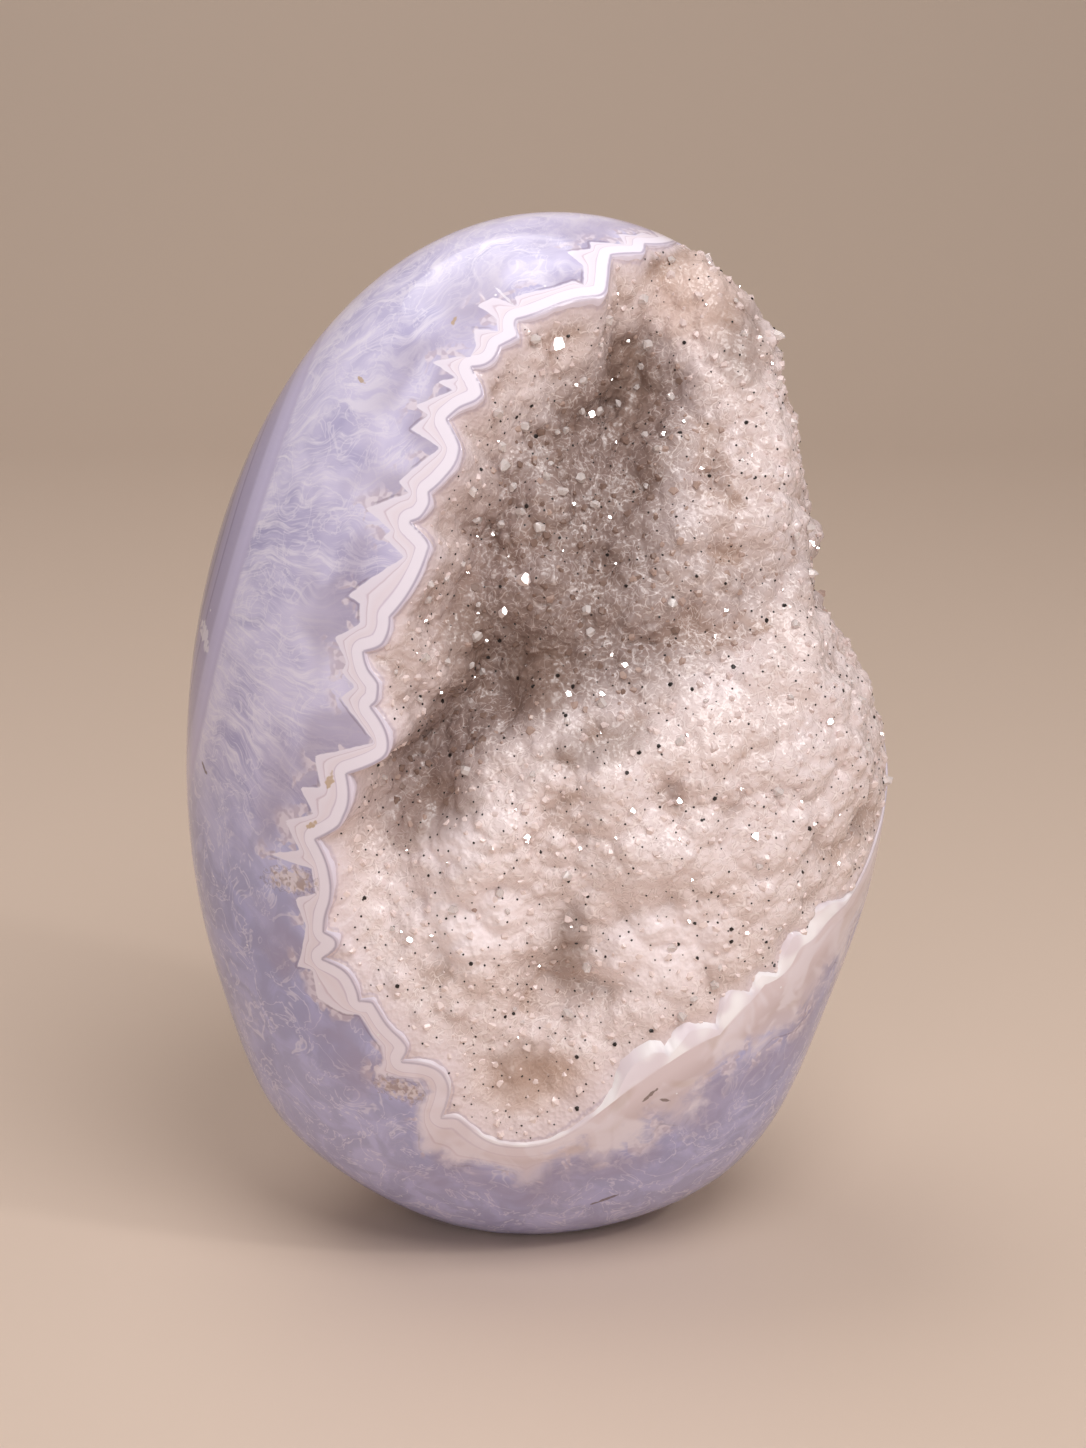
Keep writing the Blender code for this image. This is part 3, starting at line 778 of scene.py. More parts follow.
def millimetres(tree):
    """Places on a piece, in millimetres."""
    metres = node(tree, "ShaderNodeTexCoord").outputs["Object"]
    return vectors(tree, "SCALE", {0: metres, "Scale": 1.0 / MM})


def split(tree, vector):
    """The three parts of a vector, by name."""
    return node(tree, "ShaderNodeSeparateXYZ", {0: vector}).outputs


def linear(red, green, blue):
    """A colour given as seen on a screen, 0 to 255, as linear light."""
    seen = np.array([red, green, blue]) / 255.0
    light = np.where(seen <= 0.04045, seen / 12.92, ((seen + 0.055) / 1.055) ** 2.4)
    return (*[float(c) for c in light], 1.0)


def new_material(name):
    """A material with a Principled shader, its tree and the shader."""
    material = bpy.data.materials.new(name)
    material.use_nodes = True
    return material, material.node_tree, material.node_tree.nodes["Principled BSDF"]


def set_shader(shader, **values):
    """Values set on a shader's own sockets, named with underscores for spaces."""
    for name, value in values.items():
        shader.inputs[name.replace("_", " ")].default_value = value


def plain_material(name, colour, roughness, **others):
    """A material of one colour."""
    material, _, shader = new_material(name)
    set_shader(shader, Base_Color=colour, Roughness=roughness, **others)
    return material


def oval_group():
    """The node group shared by both materials: how deep a place lies inside a front oval."""
    tree = bpy.data.node_groups.get("front oval")
    if tree:
        return tree
    tree = bpy.data.node_groups.new("front oval", "ShaderNodeTree")
    made = tree.interface.new_socket
    made("Place", in_out="INPUT", socket_type="NodeSocketVector")
    for label in OVAL:
        made(label, in_out="INPUT", socket_type="NodeSocketFloat")
    made("Inside", in_out="OUTPUT", socket_type="NodeSocketFloat")
    given = tree.nodes.new("NodeGroupInput").outputs
    end = tree.nodes.new("NodeGroupOutput")
    parts = split(tree, given["Place"])
    across = maths(tree, "SUBTRACT", parts["X"], given["X"])
    up = maths(tree, "SUBTRACT", parts["Z"], given["Z"])
    turn = maths(tree, "RADIANS", given["Tilt"])
    cos = maths(tree, "COSINE", turn)
    sin = maths(tree, "SINE", turn)
    along = maths(tree, "MULTIPLY_ADD", across, cos, maths(tree, "MULTIPLY", up, sin))
    aside = maths(tree, "SUBTRACT", maths(tree, "MULTIPLY", up, cos),
                  maths(tree, "MULTIPLY", across, sin))
    near = []
    for run, size in ((along, "Half length"), (aside, "Half width")):
        share = maths(tree, "DIVIDE", run, given[size])
        near.append(maths(tree, "MULTIPLY", share, share))
    inside = maths(tree, "SUBTRACT", 1.0, maths(tree, "ADD", near[0], near[1]))
    behind = between(tree, parts["Y"], -1.0, 0.0)
    inside = maths(tree, "MULTIPLY_ADD", behind, HIDDEN, inside)
    tree.links.new(inside, end.inputs["Inside"])
    return tree


def patch(tree, where, oval):
    """How deep inside an oval patch on the front: 1 at its middle, 0 or less outside."""
    inputs = dict(zip(OVAL, oval), Place=where)
    return node(tree, "ShaderNodeGroup", inputs, node_tree=oval_group()).outputs["Inside"]


# The polished stone


def point_in_lace(turn, off, corner_turn, corner_off):
    """Whether points lie on the hollow's side of the line where the lace starts."""
    x, y = off * np.cos(turn), off * np.sin(turn)
    cx, cy = corner_off * np.cos(corner_turn), corner_off * np.sin(corner_turn)
    inside = np.zeros(len(x), dtype=bool)
    for i in range(len(cx)):
        ax, ay, bx, by = cx[i - 1], cy[i - 1], cx[i], cy[i]
        spans = (ay > y) != (by > y)
        inside ^= spans & (x < (bx - ax) * (y - ay) / (by - ay + 1e-12) + ax)
    return inside


def lace_line():
    """The line where the lace starts, as close-set points on the polished form."""
    azimuth, elevation = np.array(LACE_START, dtype=float).T
    corners = direction(azimuth, elevation)
    line = []
    for i in range(len(corners)):
        one, two = corners[i - 1], corners[i]
        pieces = int(np.ceil(angle_between(one, two) / LINE_STEP))
        for step in range(pieces):
            way = one + (two - one) * step / pieces
            line.append(way / np.linalg.norm(way))
    return on_form(np.array(line))


def from_line(points, line):
    """Distance of points from a closed line of straight pieces."""
    start = np.roll(line, 1, axis=0)
    run = line - start
    length = np.sum(run * run, axis=1)
    nearest = np.empty(len(points))
    chunk = 4000
    for first in range(0, len(points), chunk):
        p = points[first : first + chunk, None, :] - start
        t = np.clip(np.sum(p * run, axis=2) / length, 0.0, 1.0)
        gap = p - t[..., None] * run
        nearest[first : first + chunk] = np.sqrt(np.min(np.sum(gap * gap, axis=2), axis=1))
    return nearest


def rim_columns():
    """Turns of the stone's columns: closer where the lace shows, one at every rim point."""
    u = hollow_direction(RIM_OFFS, RIM_TURNS)
    at = place(u, reach_of_form(u))
    turns = []
    for i in range(len(at)):
        k = (i + 1) % len(at)
        length = np.linalg.norm(at[k] - at[i])
        step = FINE_STEP if at[i][0] < FINE_SIDE else COARSE_STEP
        count = max(1, int(np.ceil(length / step)))
        gap = np.mod(RIM_TURNS[k] - RIM_TURNS[i], 2.0 * np.pi)
        turns += [RIM_TURNS[i] + gap * j / count for j in range(count)]
    return np.array(turns)


def from_chips(at):
    """Distances of points of the polished form from each chip, its half length and width."""
    for azimuth, elevation, half, width in LIP_CHIPS:
        middle = on_form(direction(azimuth, elevation))
        yield np.linalg.norm(at - middle, axis=1), half, width


def bevel_size(u):
    """Width of the lip in a direction from the stone's middle, broad where it is chipped."""
    at = on_form(u)
    ripple = soft_noise(at, WIDTH_RIPPLE)
    size = LIP_WIDTH * (1.0 + 0.5 * ripple)
    for off, half, width in from_chips(at):
        chip = np.sqrt(np.clip(1.0 - (off / (half * MM)) ** 2, 0.0, 1.0))
        size = np.maximum(size, width * MM * chip * (1.0 + 0.12 * ripple))
    return size


def lip_rings(turn):
    """Rings of the lip, from its wall behind the crystals out to the polished form, and its rim."""
    edge = rim_off(turn)
    lip = hollow_direction(edge, turn)
    lip_reach = reach_of_form(lip)
    at = place(lip, lip_reach)
    rim = toward_middle(at)
    size = bevel_size(rim)
    uneven = soft_noise(at, SLOPE_RIPPLE)
    rings = []
    for depth in (LIP_WALL + size, 0.5 * LIP_WALL + size):
        u = hollow_direction(edge - size / lip_reach, turn)
        rings.append(place(u, reach_of_form(u) - depth))
    for row in range(LIP_ROWS, -1, -1):
        along = row / LIP_ROWS
        down = BEVEL_SLOPE * along**BEVEL_CURVE * (1.0 + uneven)
        u = hollow_direction(edge - size * along / lip_reach, turn)
        rings.append(place(u, reach_of_form(u) - size * down))
    return rings, rim


def outer_rings(rim, back):
    """Rings of the polished outside, close near the rim and wider towards the back."""
    whole = np.radians(angle_between(rim, back))
    near_rows = int(NEAR_REACH / NEAR_STEP)
    rings = []
    for row in range(1, near_rows + FAR_ROWS):
        if row <= near_rows:
            run = row * NEAR_STEP / form_radius(rim)
        else:
            share = ((row - near_rows) / FAR_ROWS) ** FAR_EASE
            first = NEAR_REACH / form_radius(rim)
            run = first + (whole - first) * share
        u = np.sin(whole - run)[:, None] * rim + np.sin(run)[:, None] * back
        rings.append(on_form(u / np.linalg.norm(u, axis=-1, keepdims=True)))
    return rings


def make_stone(settings):
    """The polished stone: lip, outside and the flat base."""
    turn = rim_columns()
    columns = len(turn)
    back = direction(*STONE_BACK)
    lip, rim = lip_rings(turn)
    rings = lip + outer_rings(rim, back)
    points = np.concatenate(rings + [on_form(back)[None, :]])
    faces = [ring_strip(r * columns, (r + 1) * columns, columns) for r in range(len(rings) - 1)]
    faces.append(ring_cap((len(rings) - 1) * columns, len(points) - 1, columns))
    faces = np.concatenate(faces)[:, ::-1]

    lace, rim_gap = lace_fields(points)
    inner = np.zeros(len(points))
    inner[: (len(lip) - 1) * columns] = 1.0
    crisp = lace_contrast(points)
    points[:, 2] = np.maximum(points[:, 2], 0.0)
    fields = {"lace": lace / MM, "rim": rim_gap / MM, "inner": inner, "crisp": crisp}
    stone = new_piece("agate_shell", points, faces, polished_agate(settings), fields)
    finish_piece(stone, "polished_agate", "agate_body")


def lace_fields(points):
    """Distances from where the lace starts, more than 0 in the lace, and from the rim."""
    rim_gap = from_rim(points)
    near = rim_gap < LACE_REACH
    lace = np.full(len(points), -LACE_REACH)
    line = lace_line()
    lace[near] = from_line(points[near], line)
    u, _ = towards(points[near])
    off, turn = hollow_angles(u)
    corner, _ = towards(line)
    corner_off, corner_turn = hollow_angles(corner)
    inside = point_in_lace(turn, off, corner_turn, corner_off)
    lace[near] = np.where(inside, lace[near], -lace[near])
    return lace, rim_gap


def lace_contrast(points):
    """How crisp the lace is: faint along the lower right, where the band is beige."""
    azimuth, elevation, spread = FAINT_LACE
    off = angle_between(toward_middle(points), direction(azimuth, elevation))
    return 1.0 - np.exp(-((off / spread) ** 4))


def polished_agate(settings):
    """Cloudy lavender agate with milky fibres, a straight rind and a band of white lace."""
    material, tree, shader = new_material("polished agate")
    where = millimetres(tree)
    colour = agate_body_colour(tree, where, settings)
    colour = agate_rind(tree, where, colour)
    colour = agate_lace(tree, where, colour)
    colour = agate_marks(tree, where, colour)
    tree.links.new(colour, shader.inputs["Base Color"])
    smear = cloud(tree, where, 0.35, 1.0)
    polish = between(tree, smear, 0.35, 0.75, 0.07, 0.16, "LINEAR")
    tree.links.new(polish, shader.inputs["Roughness"])
    set_shader(shader, IOR=QUARTZ_IOR)
    return material


def fan_places(tree, where):
    """Places drawn out along fibres that fan out from a line beside the stone."""
    parts = split(tree, where)
    across = maths(tree, "SUBTRACT", parts["X"], FAN_X)
    up = maths(tree, "SUBTRACT", parts["Z"], FAN_Z)
    squares = maths(tree, "ADD", maths(tree, "MULTIPLY", across, across),
                    maths(tree, "MULTIPLY", up, up))
    reach = maths(tree, "SQRT", squares)
    angle = maths(tree, "ARCTAN2", up, across)
    angle = maths(tree, "MULTIPLY_ADD", cloud(tree, where, 0.06, 2.0), 0.22, angle)
    inputs = {
        "X": maths(tree, "MULTIPLY", angle, 48.0), "Y": maths(tree, "MULTIPLY", reach, 0.06),
        "Z": maths(tree, "MULTIPLY", parts["Y"], 0.12),
    }
    return node(tree, "ShaderNodeCombineXYZ", inputs).outputs[0]


def agate_body_colour(tree, where, settings):
    """The cloudy body, with fibres that fan out from the left and mottling below."""
    deep = (*settings.body_deep, 1.0)
    pale = (*settings.body_pale, 1.0)
    milk = (*settings.milk, 1.0)
    soft = between(tree, cloud(tree, where, 0.045, 3.0, 0.6, 0.6), 0.32, 0.68)
    colour = blend(tree, soft, deep, pale)

    fan = fan_places(tree, where)
    broad = between(tree, cloud(tree, fan, 0.40, 2.0, 0.55, 0.3), 0.42, 0.62)
    fine = between(tree, cloud(tree, fan, 1.1, 4.0, 0.65, 0.2), 0.48, 0.68)
    hairs = between(tree, cloud(tree, fan, 3.2, 1.0, 0.6), 0.5, 0.66)
    above = between(tree, split(tree, where)["Z"], *FIBRES_RUN)
    below = maths(tree, "SUBTRACT", 1.0, above)
    colour = glaze(tree, colour, linear(184, 184, 228), below, 0.75)
    colour = glaze(tree, colour, pale, broad, above, 0.55)
    colour = glaze(tree, colour, milk, fine, above, 0.75)
    colour = glaze(tree, colour, milk, hairs, above, 0.35)

    curls = fine_lines(tree, cloud(tree, where, 0.22, 2.0, 0.6, 1.6), 0.5, 0.035)
    thin = between(tree, cloud(tree, where, 0.09, 0.0), 0.45, 0.65)
    colour = glaze(tree, colour, milk, curls, thin, 0.25)
    mottle = between(tree, cloud(tree, where, 0.13, 3.0, 0.6, 0.9), 0.64, 0.38)
    colour = glaze(tree, colour, linear(156, 154, 190), mottle, below, 0.5)
    veins = fine_lines(tree, cloud(tree, where, 0.12, 3.0, 0.6, 1.2), 0.53, 0.025)
    return glaze(tree, colour, milk, veins, 0.5)


def agate_marks(tree, where, colour):
    """Small natural marks on the front: flecks, healed cracks and two open crystal pockets."""
    rough = maths(tree, "MULTIPLY_ADD", cloud(tree, where, 0.9, 1.0), 2.4, -1.2)
    for tint, marks in MARKS:
        for mark in marks:
            inside = maths(tree, "ADD", patch(tree, where, mark), rough)
            colour = glaze(tree, colour, tint, between(tree, inside, 0.25, 0.7), 0.75)
    grain = between(tree, cloud(tree, where, 0.8, 1.0, 0.6, 0.8), 0.4, 0.6)
    fill = blend(tree, grain, linear(180, 156, 144), linear(236, 222, 222))
    for pocket in POCKETS:
        ragged = maths(tree, "MULTIPLY_ADD", rough, 0.8, patch(tree, where, pocket))
        colour = glaze(tree, colour, fill, between(tree, ragged, 0.2, 0.9), 0.75)
        edge = fine_lines(tree, ragged, 0.25, 0.12)
        colour = glaze(tree, colour, linear(124, 106, 116), edge, 0.35)
    spots = between(tree, cells(tree, where, 0.16), 0.05, 0.03)
    some = between(tree, cloud(tree, where, 0.05, 0.0), 0.5, 0.6)
    return glaze(tree, colour, linear(250, 246, 252), spots, some)


def agate_rind(tree, where, body):
    """The straight bands of the rind, measured inwards from their plane."""
    inputs = {0: vectors(tree, "SUBTRACT", {0: where, 1: RIND_POINT}), 1: RIND_NORMAL}
    depth = node(tree, "ShaderNodeVectorMath", inputs, operation="DOT_PRODUCT").outputs["Value"]
    wave = maths(tree, "MULTIPLY_ADD", cloud(tree, where, 0.03, 0.0), 1.6, -0.8)
    depth = maths(tree, "ADD", depth, wave)
    bands = ramp(tree, maths(tree, "DIVIDE", depth, -RIND_WIDTH), (
        (0.00, linear(202, 193, 226)), (0.06, linear(211, 203, 236)),
        (0.14, linear(206, 198, 231)), (0.17, linear(184, 175, 206)),
        (0.27, linear(178, 169, 204)), (0.285, linear(146, 137, 171)),
        (0.30, linear(178, 169, 204)), (0.36, linear(166, 157, 191)),
        (0.375, linear(134, 126, 158)), (0.40, linear(164, 156, 184)),
        (0.55, linear(156, 149, 174)), (0.57, linear(128, 121, 148)),
        (0.60, linear(171, 163, 191)), (0.75, linear(178, 170, 198)),
        (0.78, linear(211, 205, 230)), (0.82, linear(166, 158, 186)),
        (1.00, linear(176, 167, 196)),
    ))
    return glaze(tree, body, bands, between(tree, depth, 0.5, -0.5), 0.92)


def agate_wedges(tree, where, body, lace):
    """The body's wedges, darker and glassier towards the lace, with cream patches at their tips."""
    near = between(tree, lace, -15.0, -1.0)
    shade = between(tree, cloud(tree, where, 0.07, 1.0), 0.38, 0.58)
    body = glaze(tree, body, linear(168, 156, 182), near, shade, 0.65)
    tips = between(tree, lace, -4.0, -1.0)
    patchy = between(tree, cloud(tree, where, 0.2, 2.0, 0.6, 0.5), 0.50, 0.56)
    grain = between(tree, cloud(tree, where, 0.9, 0.0), 0.4, 0.6)
    cream = blend(tree, grain, linear(238, 226, 236), linear(206, 190, 204))
    body = glaze(tree, body, cream, patchy, tips, 0.75)
    edge = fine_lines(tree, lace, -0.35, 0.3)
    some = between(tree, cloud(tree, where, 0.15, 0.0), 0.5, 0.6)
    return glaze(tree, body, linear(130, 112, 130), edge, some, 0.45)


def lace_bands(tree, where, lace, rim, crisp):
    """Bands of the lace from its start to its ribbon at the rim, crisp white or faint beige."""
    inner = maths(tree, "MAXIMUM", lace, 0.001)
    outer = maths(tree, "MAXIMUM", maths(tree, "SUBTRACT", rim, RIBBON_WIDTH), 0.0)
    share = maths(tree, "DIVIDE", inner, maths(tree, "ADD", inner, outer))
    white = ramp(tree, share, (
        (0.00, linear(244, 236, 250)), (0.30, linear(242, 232, 246)),
        (0.36, linear(222, 205, 220)), (0.41, linear(247, 238, 250)),
        (0.70, linear(244, 232, 243)), (0.86, linear(245, 234, 245)),
        (0.93, linear(222, 207, 226)), (0.99, linear(250, 242, 255)),
        (1.00, linear(250, 242, 255)),
    ))
    faint = ramp(tree, share, (
        (0.00, linear(212, 203, 222)), (0.30, linear(220, 206, 216)),
        (0.60, linear(216, 198, 202)), (1.00, linear(232, 216, 221)),
    ))
    whiter = between(tree, cloud(tree, where, 0.11, 2.0, 0.6, 0.8), 0.45, 0.62)
    faint = glaze(tree, faint, linear(244, 235, 244), whiter, 0.7)
    tan = between(tree, cloud(tree, where, 0.07, 2.0, 0.6, 0.5), 0.52, 0.66)
    faint = glaze(tree, faint, linear(206, 184, 176), tan, 0.5)
    bands = blend(tree, crisp, faint, white)
    line = between(tree, rim, 0.62, 0.22)
    return glaze(tree, bands, linear(176, 163, 186), line, crisp, 0.8)


def agate_lace(tree, where, body):
    """The white lace between the body's wedges and the rim, and the lip with its chips, whose
    near-white is a painted highlight.
    """
    lace, rim, crisp, lip = (field(tree, name) for name in ("lace", "rim", "crisp", "inner"))
    wobble = maths(tree, "MULTIPLY_ADD", cloud(tree, where, 0.5, 1.0), 0.5, -0.25)
    lace = maths(tree, "ADD", lace, wobble)
    body = agate_wedges(tree, where, body, lace)
    bands = lace_bands(tree, where, lace, rim, crisp)
    faintness = maths(tree, "SUBTRACT", 1.0, crisp)
    patchy = maths(tree, "MULTIPLY_ADD", cloud(tree, where, 0.16, 3.0, 0.6, 0.6), 22.0, -11.0)
    edge = maths(tree, "MULTIPLY_ADD", patchy, faintness, lace)
    half = maths(tree, "MULTIPLY_ADD", faintness, 4.5, 0.12)
    inside = between(tree, edge, maths(tree, "MULTIPLY", half, -1.0), half)
    colour = blend(tree, inside, body, bands)
    colour = glaze(tree, colour, linear(224, 212, 226), lip, crisp, 0.8)
    # Painted highlight: the broad lip and its chips are near-white, with lavender painted
    # reflections in patches
    painted_sheen = between(tree, cloud(tree, where, 0.2, 0.0), 0.35, 0.65)
    chip = blend(tree, painted_sheen, linear(236, 224, 232), linear(254, 250, 254))
    return glaze(tree, colour, chip, lip, faintness)


# The crystal bed and its crystals


def even_spots(step, draw, jitter):
    """Evenly strewn places inside the rim, as angles off the facing direction and turns."""
    rows = np.arange(-CHART_REACH, CHART_REACH, step * ROW_SPACING)
    spots = []
    for i, y in enumerate(rows):
        x = np.arange(-CHART_REACH, CHART_REACH, step) + 0.5 * step * (i % 2)
        spots.append(np.stack([x, np.full(len(x), y)], axis=1))
    spots = np.concatenate(spots)
    spots = spots + draw.uniform(-jitter * step, jitter * step, spots.shape)
    off = np.hypot(spots[:, 0], spots[:, 1])
    turn = np.arctan2(spots[:, 1], spots[:, 0])
    keep = off < rim_off(turn) - 0.5 * step
    return off[keep], turn[keep]


def crystal_tips(draw):
    """Foot, height and six slanting faces of each crystal of the bed."""
    feet, heights, slopes = [], [], []
    for step, low_high, share, slope in PYRAMIDS:
        off, turn = even_spots(step, draw, PYRAMID_JITTER)
        kept = draw.random(len(off)) < share
        off, turn = off[kept], turn[kept]
        feet.append(hollow_direction(off, turn))
        heights.append(draw.uniform(*low_high, len(off)))
        slopes.append(np.full(len(off), slope))
    u = np.concatenate(feet)
    normal = bed_normals(u)
    side = np.cross(normal, draw.normal(size=normal.shape))
    side /= np.linalg.norm(side, axis=1, keepdims=True)
    across = np.cross(normal, side)
    faces = []
    lean = draw.uniform(0.0, 2.0 * np.pi, len(u))
    tilt = draw.uniform(*PYRAMID_TILT, len(u))
    for j in range(SIDES):
        angle = np.pi * j / 3.0
        way = np.cos(angle) * side + np.sin(angle) * across
        slope = np.concatenate(slopes) * (1.0 + tilt * np.cos(angle - lean))
        faces.append(way * slope[:, None])
    return smooth_bed(u), np.concatenate(heights), np.stack(faces, axis=1)


def crystal_heights(points, draw):
    """Height of the crystals grown together over points of the smooth bed."""
    foot, height, faces = crystal_tips(draw)
    tree = point_tree(foot)
    near = np.array([[found[1] for found in tree.find_n(p, NEIGHBOURS)] for p in points])
    best = np.zeros(len(points))
    for k in range(NEIGHBOURS):
        i = near[:, k]
        way = points - foot[i]
        drop = np.max(np.einsum("pfc,pc->pf", faces[i], way), axis=1)
        best = np.maximum(best, height[i] - drop)
    return best


def smoothed(points, faces, share, rounds):
    """Points moved towards their neighbours by a share, a number of times."""
    ends = np.concatenate([faces[:, (0, 1)], faces[:, (1, 2)], faces[:, (2, 0)]])
    ends = np.unique(np.sort(ends, axis=1), axis=0)
    one = np.concatenate([ends[:, 0], ends[:, 1]])
    two = np.concatenate([ends[:, 1], ends[:, 0]])
    count = np.bincount(one, minlength=len(points))[:, None]
    for _ in range(rounds):
        total = [np.bincount(one, points[two, axis], len(points)) for axis in range(3)]
        points = points + share[:, None] * (np.stack(total, axis=1) / count - points)
    return points


def point_normals(points, faces):
    """Unit normals at the points of a mesh."""
    a, b, c = (points[faces[:, k]] for k in range(3))
    cross = np.cross(b - a, c - a)
    total = np.zeros_like(points)
    for axis in range(3):
        for k in range(3):
            total[:, axis] += np.bincount(faces[:, k], cross[:, axis], len(points))
    return total / np.linalg.norm(total, axis=1, keepdims=True)


def bed_chart(draw):
    """The bed's points as directions from the heart, which of them are its edge, and its faces."""
    off, turn = even_spots(BED_STEP, draw, BED_JITTER)
    edge_turn = np.linspace(-np.pi, np.pi, BED_EDGE, endpoint=False)
    off = np.concatenate([rim_off(edge_turn), off])
    turn = np.concatenate([edge_turn, turn])
    chart = np.stack([off * np.cos(turn), off * np.sin(turn)], axis=1)
    ring = [(i, (i + 1) % BED_EDGE) for i in range(BED_EDGE)]
    made = delaunay_2d_cdt([Vector(c) for c in chart], ring, [], 1, 1e-9)
    chart = np.array([tuple(c) for c in made[0]])
    faces = np.array(made[2])
    used = np.unique(faces)
    on_edge = np.array([len(o) > 0 and min(o) < BED_EDGE for o in made[3]])[used]
    chart, faces = chart[used], np.searchsorted(used, faces)
    off = np.hypot(chart[:, 0], chart[:, 1])
    u = hollow_direction(off, np.arctan2(chart[:, 1], chart[:, 0]))
    return u, on_edge, faces


def chipped(u):
    """How close directions from the hollow's heart come to a chip in the lip, 0 to 1."""
    at = on_form(toward_middle(place(u, reach_of_form(u))))
    near = np.zeros(len(u))
    for off, half, width in from_chips(at):
        far = -(half + width + CHIP_FADE) * MM
        near = np.maximum(near, eased(-off, far, -0.5 * half * MM))
    return near


def make_bed():
    """The lumpy bed of crystals grown together, down the walls and over the floor."""
    draw = np.random.default_rng(BED_SEED)
    u, on_edge, faces = bed_chart(draw)
    inward = np.where(on_edge, 0.0, inside_rim(u))
    ease = SMOOTH_SHARE * (inward > 0.0) * (1.0 - SMOOTH_FADE * eased(inward, *SMOOTH_RUN))
    flat = smoothed(smooth_bed(u), faces, ease, SMOOTH_ROUNDS)
    normals = point_normals(flat, faces)
    lump = lump_heights(flat, inward)
    room = eased(inward, *ROOM_RUN)
    height = lump + room * crystal_heights(flat, draw)
    points = flat + height[:, None] * normals
    points = points - (CHIP_DROP * chipped(u))[:, None] * normals
    # Valleys and creases, stored for the painted shade of the quartz and its crystals
    valley = eased(hollow_depth(u), *VALLEY_RUN)
    crease = eased(-lump, *CREASE_RUN)
    fields = dict(zip(FIELDS, (inward / MM, room, valley, crease)))
    bed = new_piece("druse_bed", points, faces, bed_material(), fields)
    finish_piece(bed, "drusy_quartz", "quartz_druse")


def bed_arcs(tree, where, colour, painted_shade):
    """Fine pale arcs in the quartz, each with a shadow beside it, in patches."""
    bend = node(tree, "ShaderNodeTexNoise", {"Vector": where, "Scale": 0.5, "Detail": 0.0})
    bend = vectors(tree, "SCALE", {0: bend.outputs["Color"], "Scale": 1.6})
    bent = vectors(tree, "ADD", {0: where, 1: bend})
    light = maths(tree, "MULTIPLY_ADD", painted_shade, -0.6, 1.0)
    for scale, half, share in BED_ARCS:
        arcs = cells(tree, bent, scale, "DISTANCE_TO_EDGE")
        shown = between(tree, cloud(tree, where, 0.35 + scale, 0.0), 0.44, 0.56)
        shadow = fine_lines(tree, arcs, 1.7 * half, 0.8 * half)
        colour = glaze(tree, colour, linear(150, 124, 116), shadow, shown, 0.45 * share)
        thin = between(tree, arcs, half, 0.0)
        colour = glaze(tree, colour, linear(250, 238, 236), thin, shown, light, share)
    return colour


def bed_rim(tree, parts, inward, colour):
    """A pale halo and a thin line along the rim of the hollow."""
    wide = between(tree, parts["Z"], 100.0, 75.0, 1.0, 0.5)
    halo = between(tree, maths(tree, "MULTIPLY", inward, wide), 2.8, 0.6)
    colour = glaze(tree, colour, linear(232, 216, 220), halo, 0.85)
    line = fine_lines(tree, inward, 0.55, 0.35)
    return glaze(tree, colour, linear(186, 170, 188), line, 0.5)


def bed_material():
    """Milky quartz: brown painted shade in the valleys and creases, pink-white painted light on the
    domes, pale at the rim.
    """
    material, tree, shader = new_material("quartz bed")
    where = millimetres(tree)
    parts = split(tree, where)
    valley, crease, inward = (field(tree, name) for name in ("valley", "crease", "inward"))
    soft = between(tree, cloud(tree, where, 0.09, 3.0, 0.6), 0.38, 0.64)
    colour = blend(tree, soft, linear(206, 182, 174), linear(230, 213, 213))
    # Painted light: the lower part, which faces up, is made paler
    high = maths(tree, "MULTIPLY_ADD", parts["X"], HIGH_TILT, parts["Z"])
    low = between(tree, high, HIGH_RUN[1], HIGH_RUN[0])
    colour = glaze(tree, colour, linear(242, 224, 222), low, 0.6)
    tan = between(tree, cloud(tree, where, 0.06, 1.0), 0.52, 0.68)
    colour = glaze(tree, colour, linear(204, 174, 156), tan, 0.5)
    # Painted highlight on the tops of the lumps, away from their creases
    domes = between(tree, crease, 0.45, 0.1)
    colour = glaze(tree, colour, linear(244, 230, 232), domes, 0.5)
    # Painted shade: the deep valleys and the creases between lumps turn brown
    painted_shade = maths(tree, "MAXIMUM", maths(tree, "MULTIPLY", valley, 0.85),
                 maths(tree, "MULTIPLY", crease, 0.4))
    colour = blend(tree, painted_shade, colour, linear(118, 94, 84))
    colour = bed_arcs(tree, where, colour, painted_shade)

    # Painted shade on the steep wall below the upper left rim
    wall = maths(tree, "MULTIPLY", between(tree, inward, 1.0, 3.0),
                 between(tree, inward, 16.0, 5.0))
    left = between(tree, parts["X"], 5.0, -15.0)
    above = between(tree, parts["Z"], 82.0, 104.0)
    colour = glaze(tree, colour, linear(176, 152, 146), wall, left, above, 0.4)
    # Pale spots are painted light and smoky spots painted shade; tan spots are the quartz's own
    # tint
    for tint, share, spots in SPOTS:
        for spot in spots:
            inside = between(tree, patch(tree, where, spot), 0.0, 1.0)
            colour = glaze(tree, colour, tint, inside, share)
    colour = bed_rim(tree, parts, inward, colour)
    tree.links.new(colour, shader.inputs["Base Color"])
    relief = {"Strength": 0.35, "Distance": 0.0004, "Height": cells(tree, where, 1.1)}
    bump = node(tree, "ShaderNodeBump", relief)
    tree.links.new(bump.outputs[0], shader.inputs["Normal"])
    set_shader(shader, Roughness=0.24, IOR=QUARTZ_IOR)
    return material


